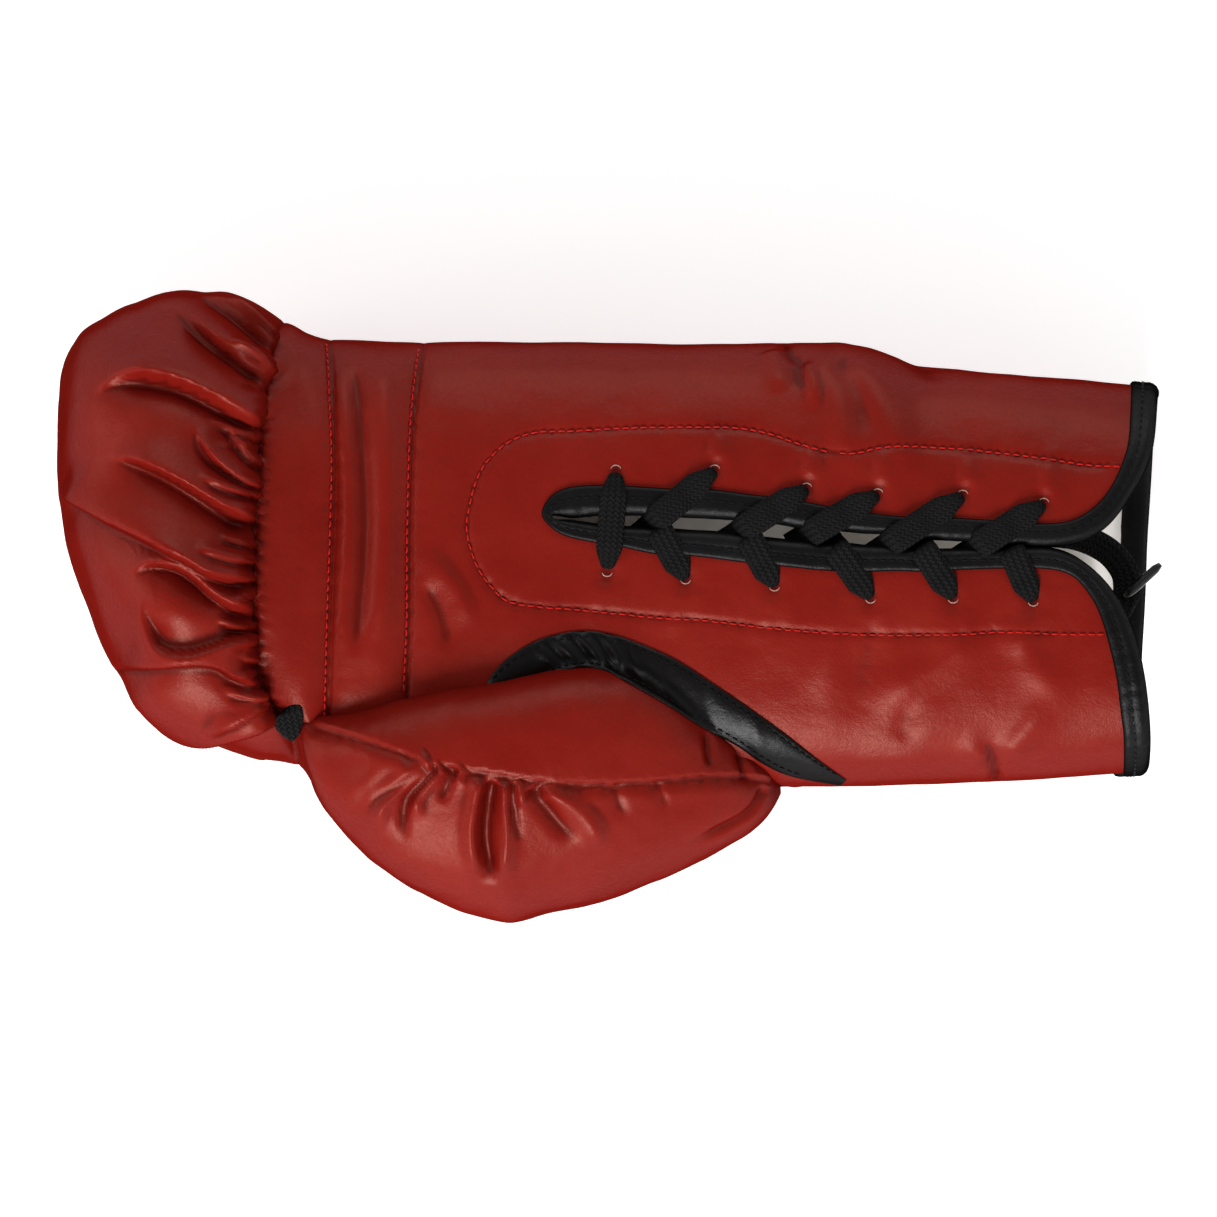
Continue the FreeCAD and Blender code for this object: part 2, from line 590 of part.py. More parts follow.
def thumb_section(x, off):
    y_mid, z_mid, half_w, half_h, tilt = [table(THUMB, x, k) for k in (1, 2, 3, 4, 5)]
    half_w, half_h = max(half_w - off, 0.8), max(half_h - off, 0.8)
    angle = math.radians(tilt)
    pts = []
    for unit_u, unit_w in unit_superellipse(16, THUMB_POWER):
        u, w = half_w * unit_u, half_h * unit_w
        pts.append(V(x, y_mid + u * math.cos(angle) - w * math.sin(angle),
                     z_mid + u * math.sin(angle) + w * math.cos(angle)))
    return closed_curve(pts)


def thumb_body(off):
    """The thumb, off mm inward, with sections closer together at its ends."""
    x0, x1 = THUMB[0][0] + off * 1.2, THUMB[-1][0] - off
    xs = [x0 + (x1 - x0) * (0.5 - 0.5 * math.cos(math.pi * k / 15)) for k in range(16)]
    return Part.makeLoft([thumb_section(x, off) for x in xs], True, False)


def thumb_tube(radius, x0, x1):
    """A round tube along the thumb's axis, narrower at its tip."""
    wires = []
    for k in range(8):
        x = x0 + (x1 - x0) * k / 7
        centre = V(x, table(THUMB_AXIS, x, 1), table(THUMB_AXIS, x, 2))
        circle = Part.Circle(centre, V(1, 0, 0), radius * (1.0 if k else 0.75))
        wires.append(Part.Wire([circle.toShape()]))
    return Part.makeLoft(wires, True, False)


def build_thumb():
    # notch in the tip for the tab
    notch = box(-120.0, -82.0, TAB_Y - 4.8, TAB_Y + 11.5, 20.0, 36.0)
    solid = thumb_body(0.0).cut(outer(-THUMB_CLEAR)).cut(notch)
    thumb_skin = solid.cut(thumb_body(SKIN).cut(outer(-THUMB_CLEAR - SKIN)))
    thumb_foam = thumb_body(FOAM_OFF).cut(outer(-THUMB_CLEAR - SKIN - GAP)).cut(notch)
    entry = Part.makeCylinder(10.5, 55.0, V(44, -30, 4), V(-36, -41, 7))
    palm_side = polygon_prism(THUMB_SEAM + [(70, 200), (-93, 200)])
    far_side = polygon_prism([(x, y - 0.4) for x, y in THUMB_SEAM] + [(70, -200), (-93, -200)])
    save("thumb_inner_panel", thumb_skin.common(palm_side).cut(entry))
    save("thumb_outer_panel", thumb_skin.common(far_side).cut(entry))
    save("thumb_pad", thumb_foam.cut(thumb_tube(12.3, -66.4, 13.4)).cut(entry))
    pocket = thumb_tube(12.0, -66.0, 13.0).cut(thumb_tube(11.0, -64.6, 12.0))
    save("thumb_lining", pocket.cut(entry))


def build_thumb_tab():
    """The webbing tab between the fist and the notch in the thumb's tip."""
    slope = (top_z(-96.0, TAB_Y + 2) - top_z(-96.0, TAB_Y - 2)) / 4.0
    frames = [(on_palm(x, TAB_Y, 1.7), V(0, 1, slope), TAB_W)
              for x in (-101.0, -96.5, -91.0, -86.0)]
    save("thumb_tab", flat_strip(frames, TAB_T), KEEP_SMALL)


# ---------------------------------------------------------------- cuff and flaps
cuff_skin = skin.common(cuff_block)
cuff_foam = foam.common(cuff_block)
cuff_lining = lining.common(cuff_block)


def build_cuff_back():
    panel_end = mouth_region(3.4)        # the panels stop inside the mouth binding
    save("cuff_back_shell", cuff_skin.common(back_half).cut(panel_end))
    save("cuff_back_pad", cuff_foam.common(back_half).cut(mouth_region(7.5)))
    save("cuff_lining", cuff_lining.common(back_half).cut(panel_end))
    rim = bind_wall.common(cuff_block).cut(mouth_region(0.0)).common(mouth_region(6.4))
    groove = outer(-0.15).cut(cavity(1.15)).cut(mouth_region(2.8))
    save("cuff_binding", rim.cut(groove).common(back_half))


def build_flap(side, half, stitches):
    panel = cuff_skin.common(palm_half).cut(panel_cut).cut(lace_holes)
    save(side + "_flap_panel", panel.common(half))
    save(side + "_flap_facing", facing.common(cuff_block).common(half))
    pad = cuff_foam.common(palm_half).cut(facing_pocket).cut(pad_cut).cut(facing)
    save(side + "_flap_pad", pad.cut(lace_holes).common(half))
    flap_lining = cuff_lining.common(palm_half).cut(panel_cut).cut(holes(LINING_HOLE_R))
    save(side + "_flap_lining", flap_lining.common(half))
    save(side + "_flap_binding", slot_binding.common(cuff_block).common(half))
    save(side + "_flap_thread", thread_path(stitches), KEEP_THREAD)


build_hand_leather()
build_hand_padding()
build_thumb_welt()
build_hand_threads()
build_lace()
build_lace_end()
build_finger_shells()
build_finger_padding()
build_grip_bar()
build_thumb()
build_thumb_tab()
build_cuff_back()
build_flap("ulnar", box(y0=FLAP_SPLIT_Y),
           [p for p in FACING_STITCH if p[0] > 74.0 and p[1] > 20])
build_flap("radial", box(y1=FLAP_SPLIT_Y),
           [p for p in FACING_STITCH if 74.0 < p[0] < 144.0 and p[1] < 20])
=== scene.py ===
import bpy
import bmesh
import math
import numpy as np
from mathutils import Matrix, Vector, noise
from mathutils.bvhtree import BVHTree


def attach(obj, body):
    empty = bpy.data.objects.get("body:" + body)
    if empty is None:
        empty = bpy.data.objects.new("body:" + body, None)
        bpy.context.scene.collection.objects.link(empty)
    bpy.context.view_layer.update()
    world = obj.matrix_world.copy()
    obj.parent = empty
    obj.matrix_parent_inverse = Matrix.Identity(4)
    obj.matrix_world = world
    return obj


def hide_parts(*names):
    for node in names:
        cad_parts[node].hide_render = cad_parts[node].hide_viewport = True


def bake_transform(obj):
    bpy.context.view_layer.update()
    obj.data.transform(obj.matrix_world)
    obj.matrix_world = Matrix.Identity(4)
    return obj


# A lace-up boxing glove, left hand, palm up. Everything below is in millimetres about the
# middle of the glove (hand's mid plane at z = 0) and is moved into the row frame at the end.

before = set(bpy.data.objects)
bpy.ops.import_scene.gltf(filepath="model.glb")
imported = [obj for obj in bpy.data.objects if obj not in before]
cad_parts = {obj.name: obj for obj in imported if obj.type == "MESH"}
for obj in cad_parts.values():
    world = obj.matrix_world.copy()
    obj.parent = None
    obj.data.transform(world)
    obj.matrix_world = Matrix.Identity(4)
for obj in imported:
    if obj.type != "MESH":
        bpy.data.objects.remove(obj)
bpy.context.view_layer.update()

SHIFT = np.array([-0.5, 0.25, 62.0])
GRIP_Y0, GRIP_Y1, GRIP_Z = -24.0, 59.0, 11.0
rng = np.random.default_rng(11)
SEAM, ROLL, PALM0, WRIST = -103.0, -82.0, -58.5, 66.0


def q(pts):
    """Plan positions measured in 0.3 mm steps from the top left corner of the plan view."""
    return [((p[0] - 608.5) * 0.3, (608.5 - p[1]) * 0.3) for p in pts]


def smooth(t):
    t = np.clip(t, 0.0, 1.0)
    return t * t * (3 - 2 * t)


def pchip(xs, ys, x):
    xs, ys, x = np.asarray(xs, float), np.asarray(ys, float), np.asarray(x, float)
    h = np.diff(xs)
    d = np.diff(ys) / h
    m = np.zeros_like(ys)
    m[0], m[-1] = d[0], d[-1]
    for i in range(1, len(xs) - 1):
        if d[i - 1] * d[i] > 0:
            w1, w2 = 2 * h[i] + h[i - 1], h[i] + 2 * h[i - 1]
            m[i] = (w1 + w2) / (w1 / d[i - 1] + w2 / d[i])
    i = np.clip(np.searchsorted(xs, x, side="right") - 1, 0, len(xs) - 2)
    t = np.clip((x - xs[i]) / h[i], 0, 1)
    return (
        ys[i] * (1 + 2 * t) * (1 - t) ** 2
        + m[i] * h[i] * t * (1 - t) ** 2
        + ys[i + 1] * t * t * (3 - 2 * t)
        + m[i + 1] * h[i] * t * t * (t - 1)
    )


def spline(pts, n=None, step=None):
    """A smooth curve through points, evenly sampled."""
    p = np.asarray(pts, float)
    p = np.vstack([2 * p[0] - p[1], p, 2 * p[-1] - p[-2]])
    out = []
    for i in range(1, len(p) - 2):
        for t in np.linspace(0, 1, 16, endpoint=False):
            a, b, c, d = p[i - 1], p[i], p[i + 1], p[i + 2]
            out.append(0.5 * (2 * b + (c - a) * t + (2 * a - 5 * b + 4 * c - d) * t * t + (3 * b - a - 3 * c + d) * t**3))
    out.append(p[-2])
    out = np.array(out)
    seg = np.linalg.norm(np.diff(out, axis=0), axis=1)
    s = np.concatenate([[0], np.cumsum(seg)])
    if n is None:
        n = max(2, int(round(s[-1] / step)) + 1)
    u = np.linspace(0, s[-1], n)
    return np.stack([np.interp(u, s, out[:, k]) for k in range(out.shape[1])], axis=1)


def fbm(P, scale, octaves=3, seed=0.0):
    """Fractal noise at points P (mm), scale in mm."""
    flat = P.reshape(-1, 3) / scale + seed
    out = np.empty(len(flat))
    for k, v in enumerate(flat):
        out[k] = noise.fractal(Vector(v), 1.0, 2.0, octaves)
    return out.reshape(P.shape[:-1])


# ------------------------------------------------------------------ plan tables
TIP = -165.9
VIS = [
    (-165.9, 48.0, 48.1, 0.0, 0.0),
    (-164.5, 26.0, 70.6, -15, 18),
    (-161.0, 12.5, 78.8, -29, 31.5),
    (-157.0, 1.4, 84.0, -39, 40.0),
    (-149.5, -15.8, 88.0, -51, 47.5),
    (-142.0, -26.5, 90.3, -57.5, 51.5),
    (-134.5, -34.8, 93.4, -62.0, 54.0),
    (-127.0, -40.0, 94.4, -64.5, 55.0),
    (-119.5, -43.4, 93.8, -65.6, 54.2),
    (-112.0, -45.8, 91.4, -66, 51.5),
    (-107.0, -46.6, 89.0, -66, 47.8),
    (-102.0, -48.4, 86.4, -66, 41.0),
    (-97.0, -51.6, 84.6, -66, 38.6),
    (-90.0, -54.6, 82.6, -66, 37.6),
    (-82.0, -54.8, 81.0, -65.8, 36.2),
    (-70.0, -53.8, 80.4, -65.4, 35.8),
    (-57.0, -53.6, 80.0, -65.0, 33.6),
    (-40.0, -54.0, 80.0, -64.6, 31.8),
    (0.0, -54.2, 79.9, -61.4, 31.4),
    (35.0, -53.8, 79.9, -54.5, 33.0),
    (58.0, -53.5, 80.2, -48, 34.0),
    (68.0, -53.6, 80.2, -45.2, 34.1),
    (78.0, -53.6, 78.1, -42.2, 34.2),
    (86.5, -53.4, 75.2, -40.2, 34.2),
    (93.5, -53.2, 72.8, -39.0, 34.2),
    (100.0, -53.0, 72.3, -38.1, 34.2),
    (119.0, -52.2, 70.8, -36.4, 34.1),
    (145.0, -50.6, 68.5, -35, 33.6),
    (165.0, -48.8, 66.5, -35, 33.4),
    (172.0, -48.4, 66.0, -35, 33.2),
]
CAV = [
    (-143.0, 30, 31, -4, -3),
    (-140.0, 6, 58, -22, 14),
    (-130.0, -8, 62, -26, 21),
    (-112.0, -20, 62, -28, 25),
    (-95.0, -25, 60, -28, 25.5),
    (-57.0, -30, 57, -24, 23.0),
    (-20.0, -31, 57, -21, 22),
    (30.0, -31, 57, -21, 24.5),
    (66.0, -34, 60, -23, 26),
    (100.0, -38, 60, -25, 27),
    (130.0, -42, 61, -28, 28.5),
    (155.0, -45.6, 62.6, -30.5, 29.5),
    (172.0, -45.8, 62.6, -31, 29.6),
]
E_U = [(-15.5, 28.0), (-4.6, 29.2), (6.8, 29.3), (18.3, 28.8), (33.6, 28.1), (48.9, 26.7), (60.5, 24.9), (74.0, 23.7), (87.5, 22.8),
       (105.5, 21.2), (127.0, 19.6), (136.0, 20.1), (143.9, 22.8), (150.0, 28.0), (155.2, 35.7), (158.8, 42.5), (161.5, 51.5)]
B_U = [(-19.8, 29.6), (-17.0, 33.6), (-12.0, 36.1), (-3.2, 36.8), (7.7, 36.4), (18.3, 35.7), (30.5, 35.5), (41.3, 34.1),
       (56.6, 32.1), (69.5, 29.8), (82.3, 27.9), (95.5, 27.2), (113.0, 26.4), (126.2, 25.4), (135.0, 25.7), (141.2, 28.0),
       (146.5, 32.4), (150.0, 37.4), (152.8, 43.6), (155.0, 51.5)]
E_L = [(-15.5, 26.4), (-4.6, 24.5), (6.8, 23.3), (22.0, 22.2), (33.6, 21.4), (48.9, 19.6), (60.5, 18.6), (74.0, 17.8), (86.6, 17.3),
       (104.3, 16.9), (121.9, 17.2), (130.7, 17.2), (137.7, 15.2), (144.8, 9.8), (150.0, 3.2), (153.5, -3.9), (156.2, -11.9),
       (158.0, -20.0), (159.6, -31.2)]
B_L = [(-19.2, 26.2), (-14.0, 21.9), (-4.6, 19.6), (3.0, 18.4), (14.5, 16.0), (26.0, 15.4), (45.0, 13.1), (69.5, 11.0),
       (89.3, 11.0), (104.3, 11.4), (116.6, 11.8), (128.0, 11.8), (135.0, 10.8), (139.4, 8.2), (143.9, 2.3), (146.6, -3.9),
       (148.9, -11.9), (151.0, -21.0), (152.4, -31.2)]
HOLES_U = [(2.2, 41.0), (31.6, 41.0), (58.9, 35.6), (80.0, 33.9), (105.3, 33.5), (129.3, 31.1)]
HOLES_L = [(-0.4, 11.2), (22.9, 9.0), (49.3, 6.9), (77.8, 3.3), (102.3, 3.3), (126.1, 2.4)]
FACE_U = q([(1126, 469), (1112, 468), (1080, 466), (1040, 460), (1000, 455), (950, 450), (900, 448), (875, 450), (850, 455), (820, 452), (790, 443),
            (770, 436), (740, 430), (700, 429), (640, 429), (600, 431), (560, 433), (535, 434), (510, 443), (490, 460), (478, 480),
            (470, 510), (468, 530), (472, 550), (480, 570), (495, 590), (510, 602), (540, 607), (580, 610), (620, 614), (660, 618),
            (700, 620), (760, 627), (830, 633), (900, 635), (960, 634), (1000, 632), (1060, 634), (1112, 634)])
SEAM_LINE = q([(284, 322), (278, 335), (272, 380), (268, 430), (266, 480), (263, 540), (262, 600), (262, 640), (265, 670), (272, 695), (282, 712), (290, 722), (296, 740)])
ROLL_LINE = q([(329, 330), (330, 340), (333, 370), (335, 400), (337, 430), (338, 470), (337, 520), (335, 580), (333, 640), (331, 700), (329, 740)])
PALM_LINE = q([(424, 330), (423, 345), (420, 370), (417, 400), (414, 450), (413, 500), (412, 550), (412, 600), (411, 640), (409, 680), (407, 740)])


def line_at(pts, y):
    p = np.array(sorted(pts, key=lambda r: r[1]), float)
    return pchip(p[:, 1], p[:, 0], y)


def half_section(yl, yu, zt, v, n):
    th = np.linspace(0, math.pi, 321)
    c, s = np.cos(th), np.sin(th)
    uy = np.sign(c) * np.abs(c) ** (2 / n)
    uz = np.abs(s) ** (2 / n)
    Y = np.empty((len(yl), len(v)))
    Z = np.empty_like(Y)
    for i in range(len(yl)):
        y = (yl[i] + yu[i]) / 2 + (yu[i] - yl[i]) / 2 * uy
        z = zt[i] * uz
        s_ = np.concatenate([[0], np.cumsum(np.hypot(np.diff(y), np.diff(z)))])
        s_ /= max(s_[-1], 1e-9)
        Y[i] = np.interp(v, s_, y)
        Z[i] = np.interp(v, s_, z)
    return Y, Z


def grid_normals(P):
    du = np.gradient(P, axis=0)
    dv = np.gradient(P, axis=1)
    n = np.cross(du, dv)
    l = np.linalg.norm(n, axis=-1, keepdims=True)
    return n / np.maximum(l, 1e-9)


# -------------------------------------------------------------- stations along x
def warp(x0, y):
    """Bends the cross lines so that three of them lie on the palm's seams."""
    k = np.array([-150.0, SEAM, ROLL, PALM0, -20.0])
    off = [np.zeros_like(y), line_at(SEAM_LINE, y) - SEAM, line_at(ROLL_LINE, y) - ROLL, line_at(PALM_LINE, y) - PALM0, np.zeros_like(y)]
    out = np.zeros_like(y)
    for j in range(4):
        a, b = k[j], k[j + 1]
        m = (x0 >= a) & (x0 <= b)
        t = smooth((x0 - a) / (b - a))
        out = np.where(m, off[j] * (1 - t) + off[j + 1] * t, out)
    return out


def tube_stations(fine):
    u = np.linspace(0, math.sqrt(172.0 - TIP), 4000)
    x = TIP + u * u
    a = pchip([math.sqrt(r[0] - TIP) for r in VIS], [(r[2] - r[1]) / 2 for r in VIS], u)
    s = np.concatenate([[0], np.cumsum(np.hypot(np.diff(x), np.diff(a)))])
    fixed = [TIP, SEAM, ROLL, PALM0, -20.0, 40.0, WRIST, 172.0]
    out = []
    for p, r in zip(fixed, fixed[1:]):
        sp, sr = np.interp(p, x, s), np.interp(r, x, s)
        step = fine if r <= -19 else fine * 1.25
        n = max(2, int(round((sr - sp) / step)))
        out += list(np.interp(np.linspace(sp, sr, n, endpoint=False), s, x))
    return np.array(out + [172.0])


def columns(tab, x):
    u = [math.sqrt(r[0] - tab[0][0]) for r in tab]
    t = np.sqrt(np.maximum(x - tab[0][0], 0))
    return [pchip(u, [r[k] for r in tab], t) for k in (1, 2, 3, 4)]


FINE = 0.85
X0 = tube_stations(FINE)
NV = 200
V_TOP = np.linspace(0, 1, NV)
yl, yu, zb, zt = columns(VIS, X0)
Yt, Zt = half_section(yl, yu, zt, V_TOP, 2.5)
NB = 121
V_BOT = np.linspace(0, 1, NB)
Yb, Zb = half_section(yl, yu, -zb, V_BOT, 2.5)
Zb = -Zb
top = np.stack([X0[:, None] + warp(X0[:, None] + 0 * Yt, Yt), Yt, Zt], axis=-1)
bot = np.stack([X0[:, None] + warp(X0[:, None] + 0 * Yb, Yb), Yb, Zb], axis=-1)
i_seam, i_roll, i_palm = [int(np.argmin(abs(X0 - s))) for s in (SEAM, ROLL, PALM0)]
i_mid, i_w0, i_wrist = [int(np.argmin(abs(X0 - s))) for s in (-20.0, 40.0, WRIST)]


def roundover(d, R, H):
    t = np.clip(1 - d / R, 0, 1)
    return -H * (1 - np.sqrt(np.clip(1 - t * t, 0, 1)))


def rolls(x0, y, z):
    """The palm rolls: valleys at the three seams, deepest across the palm."""
    h = np.zeros_like(y)
    fade = smooth(z / 22.0)
    for s, H, RL, RR in ((SEAM, 6.8, 12.0, 9.0), (ROLL, 3.1, 9.5, 8.5), (PALM0, 2.9, 9.0, 9.0)):
        d = x0 - s
        h += np.where(d < 0, roundover(-d, RL, H), roundover(d, RR, H))
    return h * (0.35 + 0.65 * fade)


# ---------------------------------------------------------------- sculpted folds
class Stroke:
    """A ridge (positive) or crease (negative) that follows a line in plan.
    left and right are the half widths on the two sides of the direction of travel."""

    def __init__(self, pts, height, left, right=None, ends=(0.25, 0.25), power=2.0, plain=False):
        p = np.array(pts if plain else q(pts), float)
        self.p = spline(p, n=max(6, 4 * len(p))) if len(p) > 2 else np.array([p[0] + (p[1] - p[0]) * t for t in np.linspace(0, 1, 6)])
        self.h, self.l, self.r, self.ends, self.power = height, left, left if right is None else right, ends, power
        if not plain:
            self.h *= 1.3

    def field(self, x, y):
        reach = 3.0 * max(self.l, self.r)
        lo_, hi_ = self.p.min(0) - reach, self.p.max(0) + reach
        m = (x > lo_[0]) & (x < hi_[0]) & (y > lo_[1]) & (y < hi_[1])
        out = np.zeros_like(x)
        if not m.any():
            return out
        X, Y = x[m], y[m]
        best = np.full(X.shape, 1e9)
        sd = np.zeros_like(X)
        tt = np.zeros_like(X)
        seg = np.linalg.norm(np.diff(self.p, axis=0), axis=1)
        cum = np.concatenate([[0], np.cumsum(seg)])
        for i in range(len(seg)):
            a, d = self.p[i], self.p[i + 1] - self.p[i]
            t = np.clip(((X - a[0]) * d[0] + (Y - a[1]) * d[1]) / max(seg[i] ** 2, 1e-9), 0, 1)
            dx, dy = X - a[0] - t * d[0], Y - a[1] - t * d[1]
            dist = np.hypot(dx, dy)
            near = dist < best
            best = np.where(near, dist, best)
            sd = np.where(near, d[0] * dy - d[1] * dx, sd)
            tt = np.where(near, (cum[i] + t * seg[i]) / cum[-1], tt)
        w = np.where(sd > 0, self.l, self.r)
        e0, e1 = self.ends
        amp = np.ones_like(tt)
        if e0 > 0:
            amp *= smooth(tt / e0)
        if e1 > 0:
            amp *= smooth((1 - tt) / e1)
        out[m] = self.h * amp * np.exp(-((best / w) ** self.power))
        return out


class Fold(Stroke):
    """A lip of slack leather: it swells slowly on the left of the line and drops steeply on the
    right into a crease that fills out again over the distance down."""

    def __init__(self, pts, height, up, steep=1.2, down=4.0, depth=0.7, ends=(0.35, 0.03), plain=False):
        if not plain:
            height, up, down = height * 1.32, up * 1.22, down * 1.12
        super().__init__(pts, height, up, down, ends, 2.0, plain)
        self.up, self.steep, self.down, self.depth = up, steep, down, depth

    def field(self, x, y):
        reach = 3.0 * max(self.up, self.down)
        lo_, hi_ = self.p.min(0) - reach, self.p.max(0) + reach
        m = (x > lo_[0]) & (x < hi_[0]) & (y > lo_[1]) & (y < hi_[1])
        out = np.zeros_like(x)
        if not m.any():
            return out
        X, Y = x[m], y[m]
        best, sd, tt = np.full(X.shape, 1e9), np.zeros_like(X), np.zeros_like(X)
        seg = np.linalg.norm(np.diff(self.p, axis=0), axis=1)
        cum = np.concatenate([[0], np.cumsum(seg)])
        for i in range(len(seg)):
            a, d = self.p[i], self.p[i + 1] - self.p[i]
            t = np.clip(((X - a[0]) * d[0] + (Y - a[1]) * d[1]) / max(seg[i] ** 2, 1e-9), 0, 1)
            dx, dy = X - a[0] - t * d[0], Y - a[1] - t * d[1]
            dist = np.hypot(dx, dy)
            near = dist < best
            best = np.where(near, dist, best)
            sd = np.where(near, d[0] * dy - d[1] * dx, sd)
            tt = np.where(near, (cum[i] + t * seg[i]) / cum[-1], tt)
        e0, e1 = self.ends
        amp = np.ones_like(tt)
        if e0 > 0:
            amp *= smooth(tt / e0)
        if e1 > 0:
            amp *= smooth((1 - tt) / e1)
        left = np.exp(-((best / self.up) ** 1.7))
        right = (1 + self.depth) * np.exp(-((best / self.steep) ** 2)) - self.depth * np.exp(-((best / self.down) ** 1.6))
        out[m] = self.h * amp * np.where(sd > 0, left, right)
        return out


class Dome:
    """A round bulge or dimple."""

    def __init__(self, centre, height, rx, ry, turn=0.0):
        self.c = q([centre])[0]
        self.h, self.rx, self.ry, self.t = height, rx, ry, math.radians(turn)

    def field(self, x, y):
        dx, dy = x - self.c[0], y - self.c[1]
        u = (dx * math.cos(self.t) + dy * math.sin(self.t)) / self.rx
        v = (-dx * math.sin(self.t) + dy * math.cos(self.t)) / self.ry
        return self.h * np.exp(-(u * u + v * v))


